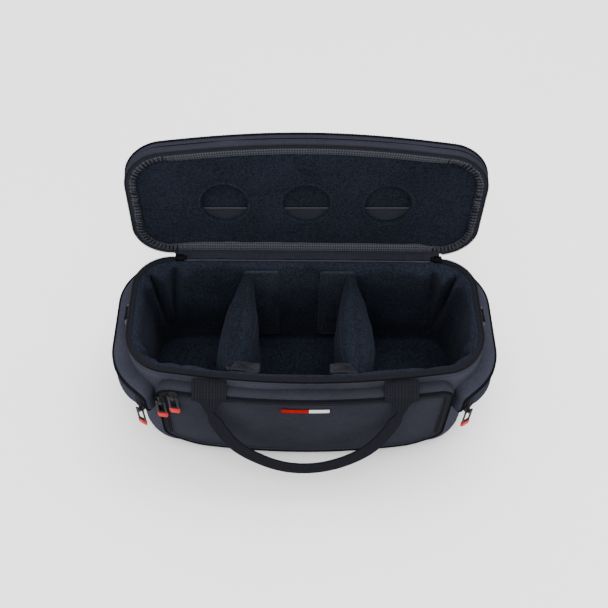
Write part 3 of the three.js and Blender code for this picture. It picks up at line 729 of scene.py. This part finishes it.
# ---- pockets
def pocket(name, rect, radii, depth, bulge, lift, nodes, seed, cloth):
    """Pocket on the wall. lift: (where its front is, over what length, how far its bottom rises)."""
    a0, a1, b0, b1 = rect

    def on_wall(a, d, b):
        low = np.clip((b1 - b) / (b1 - b0), 0, 1)
        front = smooth(np.abs(a - lift[0]), lift[1], 0) if lift else 0
        if lift:
            d = d * (1 - 0.5 * front * smooth(low, 0.55, 1))
        else:
            d = d * (0.5 + 0.5 * smooth(b, b0, b0 + 48))
        return wrap(a, d, b + (lift[2] * front * low if lift else 0))

    def depth_at(a, b):
        p = np.stack([a, b, 0 * a], -1)
        crown = (1 - ((a - (a0 + a1) / 2) / ((a1 - a0) / 2)) ** 4) * smooth(b1 - b, 5, 60)
        crown = crown * smooth(b - b0, -5, 45)
        ripple = 0.7 * wobble(p, 70, seed) + 0.25 * wobble(p, 24, seed + 1)
        return depth + 1.8 + bulge * crown + ripple * 0.7

    profile = [(0.0, 0.2), (-0.6, depth * 0.4), (-0.4, depth * 0.75), (0.3, depth - 0.6),
               (1.2, depth + 0.6), (2.4, depth + 1.2), (4.0, depth + 1.3), (6.5, depth + 1.2),
               (9.5, depth + 1.3), (12.0, depth + 1.9)]
    attach(patch(name, rect, radii, profile, depth_at, on_wall, cloth), "bag", "outer", *nodes)
    for k, (inset, out, size, trim) in enumerate(((1.6, depth + 1.6, 2.6, PIPING),
                                                  (11.5, depth + 2.0, 1.6, cloth))):
        ab = inset_rect(rect, radii, inset)
        p = on_wall(ab[:, 0], out, ab[:, 1])
        n = outward(ab[:, 0])
        attach(sweep(f"{name}_piping_{k}", p, n, round_section(size, size, 10, 1.0), trim,
                     closed=True), "bag", "outer")
    ab = inset_rect(rect, radii, POCKET_ZIP_INSET)
    start = int(np.argmin(ab[:, 1] + 1000 * (ab[:, 0] < (a0 + a1) / 2)))
    ab = np.roll(ab, -start, 0)
    ab = ab[ab[:, 1] > b0 + radii[0] * 0.9]
    n = outward(ab[:, 0])
    p = on_wall(ab[:, 0], depth + 1.9, ab[:, 1])
    attach(sweep(f"{name}_zip_tape", p, n, round_section(7.5, 1.2), ZIP_TAPE),
           "bag", "webbing")
    p = on_wall(ab[:, 0], depth + 2.7, ab[:, 1])
    attach(beads(f"{name}_zip_teeth", p, n, TOOTH, 1.8, (1.2, 3.2, 1.3)), "bag", "plastic")


half = s_at(FRONT_POCKET_X, "front")
pocket("front_pocket", (-half, half, 14.0, FRONT_POCKET_TOP), (46, 46, 16, 16), FRONT_POCKET_D, 4.0,
       None, ("front_pocket_gusset", "front_pocket_panel", "front_pocket_zip"), 21, CLOTH_PANEL)
for side, name in ((-1, "left_pocket"), (1, "right_pocket")):
    s_front = s_at(side * SIDE_POCKET_X, "front") % PER
    s_back = s_at(side * SIDE_POCKET_X, "back") % PER
    lo, hi = sorted((s_front, s_back))
    pocket(name, (lo, hi, SIDE_POCKET_BASE, SIDE_POCKET_TOP), (18, 18, 18, 18), SIDE_POCKET_D, 3.0,
           (s_front, 75.0, 12.0),
           (f"{name}_gusset", f"{name}_panel", f"{name}_zip"), 31 + side, CLOTH_SIDE)

# Sewn tag in two plain colours
for name, x0, x1, colour in (("tag_left", -27, 4, TAG_RED), ("tag_right", 4.2, 27, TAG_WHITE)):
    xs = np.linspace(x0, x1, 14)
    y = bowed(xs, np.full(14, -D / 2)) - PANEL_OUT - 1.9
    zs = np.linspace(FRONT_POCKET_TOP - 24.5, FRONT_POCKET_TOP - 17.5, 6)
    out = np.r_[0.0, 0.9, 1.1, 1.1, 0.9, 0.0]
    p = np.stack([np.broadcast_to(xs, (6, 14)), y[None] - out[:, None],
                  np.broadcast_to(zs[:, None], (6, 14))], -1)
    attach(grid(name, p, colour), "bag", "tag", *(["label_tag"] if x0 < 0 else []))


# ---- sliders and pulls
def zip_pull(name, s, out, z, length, body_slider):
    seat = seat_matrix(s, out, z)
    at = lambda d: seat @ Matrix.Translation((0, d * MM, 0))
    base = [(-3.0, -5.2), (3.0, -5.2), (4.3, -2), (4.6, 2.2), (3.4, 5.0), (-3.4, 5.0), (-4.6, 2.2),
            (-4.3, -2)]
    body = slab(f"{name}_slider_body", base, 2.0, PLASTIC, bevel=0.6, place=at(1.6))
    attach(body, body_slider, "plastic", f"{name}_slider")
    bridge = slab(f"{name}_slider_bridge", rounded(-1.6, 1.6, -3.6, 3.6, 1.2), 2.2, PLASTIC,
                  bevel=0.6, place=at(6.4))
    attach(bridge, body_slider, "plastic")
    for k, zz in enumerate((-3.0, 3.0)):
        post = slab(f"{name}_slider_post_{k}", rounded(-1.3, 1.3, zz - 0.7, zz + 0.7, 0.5), 3.4,
                    PLASTIC, bevel=0.3, place=at(4.2))
        attach(post, body_slider, "plastic")
    mover = f"{name}_pull"
    tip = length * 0.30
    frame_outline = rounded(-5.6, 5.6, -length + tip - 1, 0.9, 1.6)
    window = rounded(-3.4, 3.4, -length + tip + 2.2, -1.0, 1.2)
    attach(slab(f"{name}_pull_frame", frame_outline, 1.9, PLASTIC, [window], 0.45, at(5.0)),
           mover, "plastic", f"{name}_pull")
    attach(slab(f"{name}_pull_grip", rounded(-5.9, 5.9, -length, -length + tip, 2.4), 3.0, RED,
                bevel=0.9, place=at(5.0)), mover, "plastic")


zip_pull("front_left", s_at(-159, "front"), PANEL_OUT, H - 34, POCKET_PULL, "front_left_slider")
zip_pull("front_top", s_at(-144, "front"), PANEL_OUT, H - 20, POCKET_PULL, "front_top_slider")
zip_pull("left", s_at(-175.8, "front"), SIDE_OUT, H - 60, POCKET_PULL, "left_slider")
zip_pull("right", s_at(175.8, "front"), SIDE_OUT, H - 60, POCKET_PULL, "right_slider")
zip_pull("main_left", s_at(-157, "back"), 0.4, H - 9, MAIN_PULL, "bag")
zip_pull("main_right", s_at(157, "back"), 0.4, H - 9, MAIN_PULL, "bag")


# ---- handles
def folded_section(fold, width, thick, n=18):
    """Webbing cross-section; fold 0 is flat, 1 has both edges turned to meet at the back."""
    s = np.linspace(0, width / 2, n)
    quarter = width / 4
    turn = fold * math.radians(176) * smooth(s, quarter - 1.8, quarter + 1.8)
    ds = np.diff(s)
    mid = (turn[1:] + turn[:-1]) / 2
    x = np.r_[0, np.cumsum(np.cos(mid) * ds)]
    y = np.r_[0, np.cumsum(-np.sin(mid) * ds)]
    nx, ny = np.sin(turn), np.cos(turn)
    half = thick / 2
    outer = np.c_[x + nx * half, y + ny * half]
    inner = np.c_[x - nx * half, y - ny * half]
    right = np.vstack([outer, inner[::-1]])
    left = right[::-1] * [-1, 1]
    return np.vstack([right, left])


def catmull(points, n):
    p = np.asarray(points, float)
    ext = np.vstack([2 * p[0] - p[1], p, 2 * p[-1] - p[-2]])
    out = []
    seg = len(p) - 1
    for t in np.linspace(0, seg, n):
        i = min(int(t), seg - 1)
        f = t - i
        a, b, c, d = ext[i:i + 4]
        out.append(0.5 * (2 * b + (c - a) * f + (2 * a - 5 * b + 4 * c - d) * f * f
                          + (3 * b - a - 3 * c + d) * f ** 3))
    return np.array(out)


def handle(name, side, pivot_y, pivot_z, wall_y, tilt, nodes):
    tilt = math.radians(tilt)
    down = np.array([0, side * math.sin(tilt), -math.cos(tilt)])
    anchor = np.array([0, wall_y - pivot_y, 9.0])
    anchor_len = np.linalg.norm(anchor)
    half = [(-HANDLE_X, -anchor_len), (-HANDLE_X, -anchor_len * 0.5), (-HANDLE_X, 0.0),
            (-HANDLE_X, 12.0), (-HANDLE_X + 1, 26.0), (-91, 56.0), (-73, 79.0), (-48, 97.0),
            (-24, 106.5), (0, 109.0)]
    path2 = catmull(half + [(-x, d) for x, d in half[-2::-1]], 240)
    length = np.r_[0, np.cumsum(np.linalg.norm(np.diff(path2, axis=0), axis=1))]
    points, normals = [], []
    out_n = np.array([0, side * math.cos(tilt), math.sin(tilt)])
    tab_dir = anchor / anchor_len
    tab_n = np.array([0, side * tab_dir[2], -side * tab_dir[1]])
    tab_n *= np.sign(tab_n[2]) if abs(tab_n[2]) > 1e-6 else 1
    for x, d in path2:
        base = np.array([x, pivot_y, pivot_z])
        k = smooth(np.array(d), -4.0, 5.0)
        points.append(base + (tab_dir * -d if d < 0 else down * d))
        normals.append(tab_n * (1 - k) + out_n * k)
    points, normals = np.array(points), np.array(normals)
    for _ in range(3):
        points[1:-1] = (points[:-2] + 2 * points[1:-1] + points[2:]) / 4
    side_dir, n = frames(points, normals, False)
    rows = []
    end_gap = np.minimum(length, length[-1] - length)
    for i in range(len(points)):
        fold = smooth(np.array(end_gap[i]), anchor_len + 3.0, anchor_len + 22.0)
        section = folded_section(float(fold), WEB, 2.1)
        wave = 0.35 * math.sin(length[i] / 13.0) * float(fold)
        pinch = float(bump(np.array(end_gap[i]), anchor_len + 25.0, 7.0))
        narrow = 1 - 0.26 * float(fold) - 0.32 * pinch
        rows.append(points[i] + section[:, :1] * narrow * side_dir[i] + (section[:, 1:] + wave) * n[i])
    p = np.transpose(np.array(rows), (1, 0, 2))
    obj = grid(name, p, WEBBING, close_v=True)
    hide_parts(*nodes)
    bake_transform(obj)


front_wall = float(bowed(np.array(HANDLE_X), np.array(-D / 2)))
handle("front_handle_webbing", -1, front_wall - 19, FRONT_PIVOT_Z, front_wall - 0.8, 20,
       ["front_handle", "front_tab_left", "front_tab_right"])
handle("back_handle_webbing", 1, D / 2 + 6, BACK_PIVOT_Z, D / 2 + 1.0, 15,
       ["back_handle", "back_tab_left", "back_tab_right"])

# ---- D-rings
RING_Z, RING_OUT, RING_R = H - 9, 4.4, 12.0
for side, name in ((-1, "d_ring_left"), (1, "d_ring_right")):
    x = side * (W / 2 + RING_OUT)
    a = np.linspace(math.pi, 2 * math.pi, 40)
    arc = np.c_[RING_R * np.cos(a), -2.5 + RING_R * np.sin(a)]
    r = 2.2
    top = [(RING_R - r + r * math.cos(t), -r + r * math.sin(t))
           for t in np.linspace(0.2, math.pi / 2, 7)]
    bar = [(q, 0.0) for q in np.linspace(RING_R - r - 1, -RING_R + r + 1, 12)]
    tail = [(-q, w) for q, w in top[::-1]]
    yz = np.vstack([arc, top, bar, tail])
    path = np.c_[np.full(len(yz), x), yz[:, 0], RING_Z + yz[:, 1]]
    obj = sweep(f"{name}_wire", path, np.tile([1.0, 0, 0], (len(path), 1)),
                round_section(3.2, 3.2, 14, 1.0), METAL, closed=True)
    attach(obj, name, "metal", name)
    t = np.linspace(math.radians(95), math.radians(-150), 14)
    loop = [(0.3, 6.5), (2.4, 6.0)] + [(RING_OUT + 3.0 * math.cos(q), 3.0 * math.sin(q)) for q in t]
    loop += [(0.3, -3.4)]
    hole = [(RING_OUT + 1.9 * math.cos(q), 1.9 * math.sin(q))
            for q in np.linspace(0, 2 * math.pi, 16, endpoint=False)]
    place = Matrix.Translation(Vector((side * W / 2, 0, RING_Z)) * MM) @ Matrix(
        ((side, 0, 0), (0, side, 0), (0, 0, 1))).to_4x4()
    attach(slab(f"{name}_tab_web", loop, 17.5, WEBBING, [hole], 0.35, place),
           "bag", "webbing", f"{name}_tab")

# ---- dividers
BACK_FACE = D / 2 - LINED - 0.6
DIVIDER_BASE, DIVIDER_TOP = FLOOR_Z + 2.5, H - 8.0


def front_face(x):
    return bowed(np.asarray(x, float), np.full(np.shape(x), -D / 2)) + LINED + 0.8


def divider(name, back_x, front_x, inward, seed):
    """Padded wedge from wall to wall. inward is the way its end flaps turn: 1 to +X, -1 to -X."""
    nu, nv = 64, 46
    along, up = np.meshgrid(np.linspace(0, 1, nu), np.linspace(0, 1, nv))
    y_back, y_front = BACK_FACE - 1.5, float(front_face(front_x)) + 1.5
    p = np.stack([back_x + (front_x - back_x) * along, y_back + (y_front - y_back) * along,
                  DIVIDER_BASE + (DIVIDER_TOP - DIVIDER_BASE) * up], -1)
    direction = np.array([front_x - back_x, y_front - y_back])
    direction /= np.linalg.norm(direction)
    nx, ny = -direction[1], direction[0]
    ends = (1 - np.abs(2 * along - 1) ** 4.0) ** 0.6
    ends = np.where(along < 0.5, 0.72 + 0.28 * ends, ends)
    full = ends * (1 - np.abs(2 * up - 1) ** 6) ** 0.5
    thick = full * (10.0 + 12.5 * smooth(along, 0.0, 0.55))
    soft = 1.0 * wobble(p, 60, seed) + 0.5 * wobble(p, 26, seed + 1)
    sway = 1.5 * np.sin(np.pi * along) * wobble(p * 0.7, 90, seed + 2)
    sides = []
    for sign in (1, -1):
        off = sign * (thick + soft * full * 0.6) + sway * full
        q = p.copy()
        q[..., 0] += nx * off
        q[..., 1] += ny * off
        q[..., 2] += full * 2.0 * smooth(up, 0.8, 1.0)
        sides.append(q)
    ring = np.concatenate([sides[0], sides[1][:, -2:0:-1]], 1)
    pad = grid(f"{name}_pad", ring, LINING_LID, close_u=True, caps=True)
    attach(pad, name, "lining", name)
    # stitches just inside the top edge of both faces
    for k, sign in enumerate((1, -1)):
        path = sides[k][nv - 5, 4:-4]
        stitches = beads(f"{name}_stitch_{k}", path, facing((sign * nx, sign * ny, 0), path),
                         THREAD_LINING, 4.0, (2.6, 0.8, 0.7))
        attach(stitches, name, "lining")
    back_flap(name, back_x, inward, seed)
    front_flap(name, front_x, inward, seed)


def flap_depth(seed):
    return lambda a, b: 3.6 + 0.5 * wobble(np.stack([a, b, 0 * a], -1), 30, seed + 5)


def back_flap(name, x, inward, seed):
    """End flap lying on the back wall, stitched round its edge."""
    x0, x1 = sorted((x - inward * 5, x + inward * 38))
    rect, radii = (x0, x1, 30.0, DIVIDER_TOP + 2.0), (6, 6, 5, 5)

    def on_back(a, d, b):
        return np.stack([a, BACK_FACE - 0.3 - d, b], -1)

    profile = [(3.0, 0.0), (0.4, 0.6), (0, 1.8), (0.6, 3.0), (1.8, 3.7), (3.4, 3.4), (4.4, 3.1)]
    flap = patch(f"{name}_back_flap", rect, radii, profile, flap_depth(seed), on_back, LINING_FLAP,
                 rings=10)
    attach(flap, name, "lining")
    edge = inset_rect(rect, radii, 3.6)
    path = on_back(edge[:, 0], np.full(len(edge), 3.7), edge[:, 1])
    stitches = beads(f"{name}_flap_stitch", path, facing((0, -1, 0), path), THREAD_LINING, 3.6,
                     (2.4, 0.6, 0.5), closed=True)
    attach(stitches, name, "lining")


def front_flap(name, x, inward, seed):
    """End flap lying on the front wall, with its hook tape turned over the top."""
    x0, x1 = sorted((x - inward * 3, x + inward * 33))

    def on_front(a, d, b):
        return np.stack([a, front_face(a) + d, b], -1)

    profile = [(3.0, 0.0), (0.4, 0.5), (0, 1.6), (0.5, 2.8), (1.6, 3.4), (3.0, 3.2)]
    flap = patch(f"{name}_front_flap", (x0, x1, 34.0, DIVIDER_TOP - 1.0), (6, 6, 4, 4), profile,
                 flap_depth(seed), on_front, LINING_FLAP, rings=10)
    attach(flap, name, "lining")
    low = DIVIDER_TOP - 2

    def folded_over(a, d, b):
        fold = np.clip((b - low) / 12.0, 0, 1)
        y = front_face(a) + 3.6 + 14.0 * (1 - fold) + d * 0.4
        lift = 1.2 * np.sin((a - x0) / 6.5)
        return np.stack([a, y, low - 2.5 + 3.0 * fold + lift + d * 0.9], -1)

    hook = patch(f"{name}_hook_tape", (x0 - 1, x1 + 1, low, low + 12), (2, 2, 2, 2),
                 [(1.5, -1.2), (0.3, -0.9), (0, 0), (0.4, 0.7), (1.2, 0.9)],
                 lambda a, b: 0.9 + 0.25 * np.sin(a * 1.9), folded_over, HOOK, rings=10)
    attach(hook, name, "tape")


divider("divider_left", -69, -85, 1, 41)
divider("divider_right", 56, 61, -1, 51)


# ---- lid
def lid_down(p):
    """Points of the shut lid and the direction below them, both turned to where the lid stands."""
    q = lid_turn(p + facing(DOWN, p))
    p = lid_turn(p)
    return p, q - p


LID_TOP = LID_Z + LID_H


def lid_wobble(p):
    z = p[..., 2]
    inner = smooth(z, LID_Z + 1, LID_Z + 7) * (1 - smooth(z, LID_TOP - 7, LID_TOP - 3))
    return 0.4 * np.maximum(wobble(p, 80, 61) + 0.4, 0) * inner


lid_profile = [(-4.5, LID_Z + 2.4), (-4.2, LID_Z + 0.6), (-3.0, LID_Z - 0.4), (-1.4, LID_Z - 0.3),
               (-0.3, LID_Z + 0.5), (0.2, LID_Z + 2)]
lid_profile += [(0.1, z) for z in np.arange(LID_Z + 4, LID_TOP - 4, 2.5)]
lid_profile += [(0.1, LID_TOP - 3), (-0.6, LID_TOP - 1.2), (-2.2, LID_TOP - 0.2), (-5, LID_TOP)]
lid_profile += [(-9, LID_TOP + 0.3), (-16, LID_TOP + 0.8)]
lid_profile += [(-16, LID_TOP + 0.8 + 1.2 * (1 - f), f)
                for f in (0.9, 0.75, 0.6, 0.45, 0.3, 0.15, RING_CENTRE)]
attach(grid("lid_cloth", rings(lid_profile, lid_wobble, lid_turn), CLOTH, close_u=True),
       "lid", "outer", "lid_shell")

p, n = ring_path(0.3, LID_TOP - 1.6, lid_turn)
attach(sweep("lid_edge_piping", p, n, round_section(2.6, 2.6, 10, 1.0), PIPING, closed=True),
       "lid", "outer", "lid_piping")
attach(beads("lid_edge_ribs", p, n, PIPING, 3.3, (2.6, 3.4, 3.4), closed=True), "lid", "outer")

# Seam and stitches round the lid wall, then the lid's half of the zip
p, n = ring_path(0.2, LID_Z + 8.5, lid_turn)
attach(sweep("lid_wall_seam_0", p, n, round_section(1.4, 1.0, 8, 1.0), PIPING, closed=True),
       "lid", "outer")
p, n = plan_path(0, PER * 699 / 700, 0.6, LID_Z + 6.5, 900, lid_turn)
attach(beads("lid_wall_stitch_0", p, n, THREAD, 3.3, (2.4, 0.6, 0.6), closed=True),
       "lid", "outer")

p, n = lid_down(plan_path(zip_a, zip_b, -3.2, LID_Z - 0.6, 700)[0])
attach(sweep("lid_zip_tape", p, n, round_section(5.0, 0.9), HINGE_CLOTH),
       "lid", "tape", "lid_zip_half")
p, n = lid_down(plan_path(zip_a, zip_b, -0.9, LID_Z - 1.2, 700)[0])
attach(beads("lid_zip_teeth", p, n, TOOTH, ZIP_PITCH, ZIP_TOOTH, slant=0.3), "lid", "plastic")


# gathered binding tape between the rim and the lining
END_SHIFT = 5.0
LATER = np.linspace(0, 1, 10) ** 1.2


def gather(p):
    """Uneven edges of the tape in its own plane, and its inner edge set in at the ends."""
    s = np.broadcast_to(S_ALL, p.shape[:-1])
    x = np.broadcast_to(p[..., 0], p.shape[:-1])
    ends = smooth(np.abs(x), 128, 165)
    across = smooth(p[..., 2], LID_Z + 5, LID_Z + 1.5)
    pleat = np.sin(s * 2 * np.pi / 5.2 + 1.4 * np.sin(s / 9.0)) + 0.5 * np.sin(s / 3.1)
    inward = smooth(p[..., 2], LID_Z - 1.5, LID_Z + 3) * LATER[:, None]
    return (0.8 * pleat * ends + 0.18 * wobble(p, 20, 71)) * across + END_SHIFT * ends * inward


def pleats(p):
    """Raised folds across the tape, deep round the ends and slight along the long sides."""
    x = np.broadcast_to(p[..., 0], p.shape[:-1])
    ends = smooth(np.abs(x), 118, 160)
    fold = np.abs(np.sin(S_ALL * np.pi / 5.6 + 0.9 * np.sin(S_ALL / 11.0)))[None]
    middle = np.array([0, 0, 0.2, 0.6, 1, 1, 1, 0.8, 0.3, 0])[:, None]
    return (0.55 - fold) * middle * (0.2 + 3.0 * ends)


tape_profile = [(-3.6, LID_Z + 2.6), (-4.0, LID_Z + 0.6), (-5.0, LID_Z - 0.6), (-6.6, LID_Z - 1.1),
                (-8.8, LID_Z - 1.0), (-11.0, LID_Z - 0.6), (-13.2, LID_Z + 0.1),
                (-15.2, LID_Z + 1.2), (-16.6, LID_Z + 2.6), (-17.2, LID_Z + 4.6)]
attach(grid("lid_binding", rings(tape_profile, gather, lid_turn, pleats), TAPE, close_u=True),
       "lid", "tape", "lid_binding_tape")


# painted shade: dark beads standing in for the shadows in the gaps between pleats where the tape is
# gathered round the ends
for k, (start, stop) in enumerate(((s_at(150, "front"), s_at(150, "back")),
                                   (s_at(-150, "back"), s_at(-150, "front") + PER))):
    p, n = lid_down(plan_path(start, stop, -10.0, LID_Z - 1.1, 300)[0])
    attach(beads(f"lid_painted_pleat_shade_{k}", p, n, TAPE_PAINTED_SHADE, 4.6, (1.5, 9.0, 2.4), slant=0.12),
           "lid", "tape")


def inside(points, outline):
    x, y = points[:, 0], points[:, 1]
    hit = np.zeros(len(points), bool)
    a, b = outline, np.roll(outline, -1, 0)
    for (x0, y0), (x1, y1) in zip(a, b):
        cross = (y0 > y) != (y1 > y)
        at = (x1 - x0) * (y - y0) / (y1 - y0 + 1e-12) + x0
        hit ^= cross & (x < at)
    return hit


def lid_lining():
    """Lining panel with three stitched windows, triangulated in the closed lid's plane."""
    s = np.linspace(0, PER, 300, endpoint=False)
    pts, heights = [], []
    for out, rise in ((-14.6, 2.4), (-15.2, 0.6), (-16.4, -0.3), (-18.5, -0.8), (-22.0, -0.6),
                      (-27.0, 0.0)):
        ring = wrap(s, out, 0.0)[:, :2]
        n = plan(s)[1]
        ring += n * (END_SHIFT * smooth(np.abs(ring[:, 0]), 128, 165) * (out > -25))[:, None]
        pts.append(ring)
        heights.append(np.full(len(ring), rise))
    border, limit = pts[0], pts[-1]
    centres = [np.array([k * WINDOW_PITCH, WINDOW_Y]) for k in (-1, 0, 1)]
    a = np.linspace(0, 2 * np.pi, 72, endpoint=False)
    for c in centres:
        for r, rise in ((26.4, 3.6), (26.5, 1.2), (27.0, -0.2), (28.0, -0.8), (29.2, -0.75),
                        (30.2, 0.25), (31.4, 0.1), (33.5, -0.15), (37.0, 0.0)):
            ring = c + r * np.c_[np.cos(a), np.sin(a)] * WINDOW_SHAPE
            pts.append(ring)
            heights.append(np.full(len(ring), rise))
    gx, gy = np.meshgrid(np.arange(-190, 191, 5.0), np.arange(-90, 75, 5.0))
    field = np.c_[gx.ravel() + 1.2 * np.sin(gy.ravel()), gy.ravel() + 1.2 * np.cos(gx.ravel())]
    keep = inside(field, limit)
    for c in centres:
        keep &= np.hypot(*((field - c) / WINDOW_SHAPE).T) > 40
    pts.append(field[keep])
    heights.append(np.zeros(keep.sum()))
    flat = np.vstack(pts)
    rise = np.concatenate(heights)
    result = delaunay_2d_cdt([Vector(q) for q in flat], [], [], 0, 1e-5)
    verts, tris, origin = np.array([list(v) for v in result[0]]), result[2], result[3]
    height = np.array([rise[o[0]] for o in origin])
    middle = np.array([verts[list(t)].mean(0) for t in tris])
    ok = inside(middle, border)
    for c in centres:
        ok &= np.hypot(*((middle - c) / WINDOW_SHAPE).T) > 26.35
    faces = [tuple(t) for t, good in zip(tris, ok) if good]
    p3 = np.c_[verts, np.full(len(verts), 0.0)]
    z = LINING_FACE + height + 0.45 * wobble(p3, 70, 81) + 0.2 * wobble(p3, 28, 82)
    p3[:, 2] = z
    obj = make("lid_lining_cloth", lid_turn(p3), faces, LINING_LID,
               uvs=np.array([verts[i] for f in faces for i in f]))
    attach(obj, "lid", "lining", "lid_lining")
    circle = np.c_[np.cos(a), np.sin(a)] * WINDOW_SHAPE
    for k, c in zip(("left", "middle", "right"), centres):
        p, n = lid_down(np.c_[c + 28.7 * circle, np.full(len(a), LINING_FACE - 0.9)])
        attach(beads(f"window_stitch_{k}", p, n, THREAD_LINING, 3.0, (2.0, 0.7, 0.6),
                     closed=True), "lid", "lining")
        p, n = lid_down(np.c_[c + 26.7 * circle, np.full(len(a), LINING_FACE + 0.4)])
        attach(sweep(f"window_edge_{k}", p, n, round_section(1.3, 1.8, 8, 1.0), LINING_LID,
                     closed=True), "lid", "lining", f"window_trim_{k}")


lid_lining()


def lid_sheet(name, x0, x1, y0, y1, z, material, slot, seed, nx=90, ny=24, nodes=(), amp=0.5):
    X, Y = np.meshgrid(np.linspace(x0, x1, nx), np.linspace(y0, y1, ny))
    p = np.stack([X, Y, np.full(X.shape, z)], -1)
    p[..., 2] += amp * wobble(p, 45, seed)
    return attach(grid(name, lid_turn(p), material), "lid", slot, *nodes)


lid_sheet("lid_pocket_back", -150, 150, WINDOW_Y - 34, WINDOW_Y + 36, LINING_FACE + 5.4, LINING_LID,
          "lining", 91, nodes=("lid_backing", "lid_board", "lid_foam", "lid_pad", "lid_wall_foam"))
lid_sheet("lid_pocket_screen", -150, 150, WINDOW_Y + 10, WINDOW_Y + 36, LINING_FACE + 3.8, MESH,
          "webbing", 92, nodes=("lid_pocket_mesh",), amp=0.2)
x = np.linspace(-150, 150, 120)
hem = np.stack([x, WINDOW_Y + 10.0 - 0.012 * (x + 40), np.full(120, LINING_FACE + 3.4)], -1)
p, n = lid_down(hem)
attach(sweep("lid_pocket_hem", p, n, round_section(1.9, 1.0, 8, 1.0), MESH_EDGE), "lid", "tape")

# ---- hinge cloth
x = np.linspace(-156, 162, 176)
rows = []
rest_lid = lid_turn(np.array([[0, D / 2 - 1.2, LID_Z + 0.2], [0, D / 2 + 0.9, LID_Z + 3.0],
                              [0, D / 2 + 0.9, LID_Z + 12.0]]))
track = np.array([[D / 2 + 0.9, H - 14], [D / 2 + 1.0, H - 6], [D / 2 + 0.7, H - 1.5],
                  [D / 2 - 1.0, H + 0.9], [D / 2 - 0.2, H + 2.2], [D / 2 + 1.6, H + 2.9],
                  [rest_lid[0, 1] - 0.6, rest_lid[0, 2] + 0.4], [rest_lid[1, 1], rest_lid[1, 2] - 0.4],
                  [rest_lid[2, 1], rest_lid[2, 2] - 0.8]])
track = catmull(track, 40)
for y, z in track:
    crest = bump(z, H + 2.4, 3.0) * (y < D / 2 + 6)
    scallop = 0.5 * np.sin(x / 9.0) * np.sin(x / 23.0) + 0.35 * np.sin(x / 4.3)
    rows.append(np.stack([x, y + 0.4 * scallop * crest, z + 0.7 * scallop * crest], -1))
hinge = grid("hinge_cloth", np.array(rows), HINGE_CLOTH)
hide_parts("body_hinge_leaf", "lid_hinge_leaf")
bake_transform(hinge)

# ---- floor, light, camera
bm = bmesh.new()
bmesh.ops.create_grid(bm, x_segments=8, y_segments=8, size=6.0)
mesh = bpy.data.meshes.new("floor")
bm.to_mesh(mesh)
bm.free()
floor_mat = Nodes("floor", 0.9, specular=0.1)
floor_mat.colour(floor_mat.ramp(floor_mat.noise(floor_mat.coords("Object"), 3, 2),
                                [(0.3, (0.93, 0.93, 0.935)), (0.7, (0.95, 0.95, 0.95))]))
floor = place_object("floor", mesh)
mesh.materials.append(floor_mat.mat)

world = bpy.data.worlds.new("studio")
bpy.context.scene.world = world
world.use_nodes = True
world.node_tree.nodes["Background"].inputs["Color"].default_value = (1, 1, 1, 1)
world.node_tree.nodes["Background"].inputs["Strength"].default_value = 1.85


def area(name, location, target, size, power):
    light = bpy.data.lights.new(name, "AREA")
    light.shape = "RECTANGLE"
    light.size, light.size_y = size
    light.energy = power
    obj = place_object(name, light)
    obj.location = location
    obj.rotation_euler = (Vector(target) - Vector(location)).to_track_quat("-Z", "Y").to_euler()


area("key", (-0.15, -0.8, 1.9), (0, 0, 0.12), (1.3, 1.0), 26)
area("top", (0.3, 0.5, 1.9), (0, 0, 0.1), (1.6, 1.0), 28)

CAM_F, CAM_PHI, CAM_PSI, CAM_ROLL, CAM_DIST = 866.0, 54.6, 1.6, 1.7, 1007.0
CAM_TARGET = (-1.6, 8.8, H)
phi, psi, roll = (math.radians(v) for v in (CAM_PHI, CAM_PSI, CAM_ROLL))
forward = Vector((math.sin(psi) * math.cos(phi), math.cos(psi) * math.cos(phi), -math.sin(phi)))
right = Vector((math.cos(psi), -math.sin(psi), 0))
upward = right.cross(forward)
r2 = right * math.cos(roll) + upward * math.sin(roll)
u2 = -right * math.sin(roll) + upward * math.cos(roll)
camera = bpy.data.cameras.new("camera")
camera.sensor_width = 36
camera.lens = CAM_F / 608 * 36
camera.clip_start = 0.05
cam = place_object("camera", camera)
basis = Matrix((r2, u2, -forward)).transposed().to_4x4()
cam.matrix_world = Matrix.Translation((Vector(CAM_TARGET) - forward * CAM_DIST) * MM) @ basis
bpy.context.scene.camera = cam
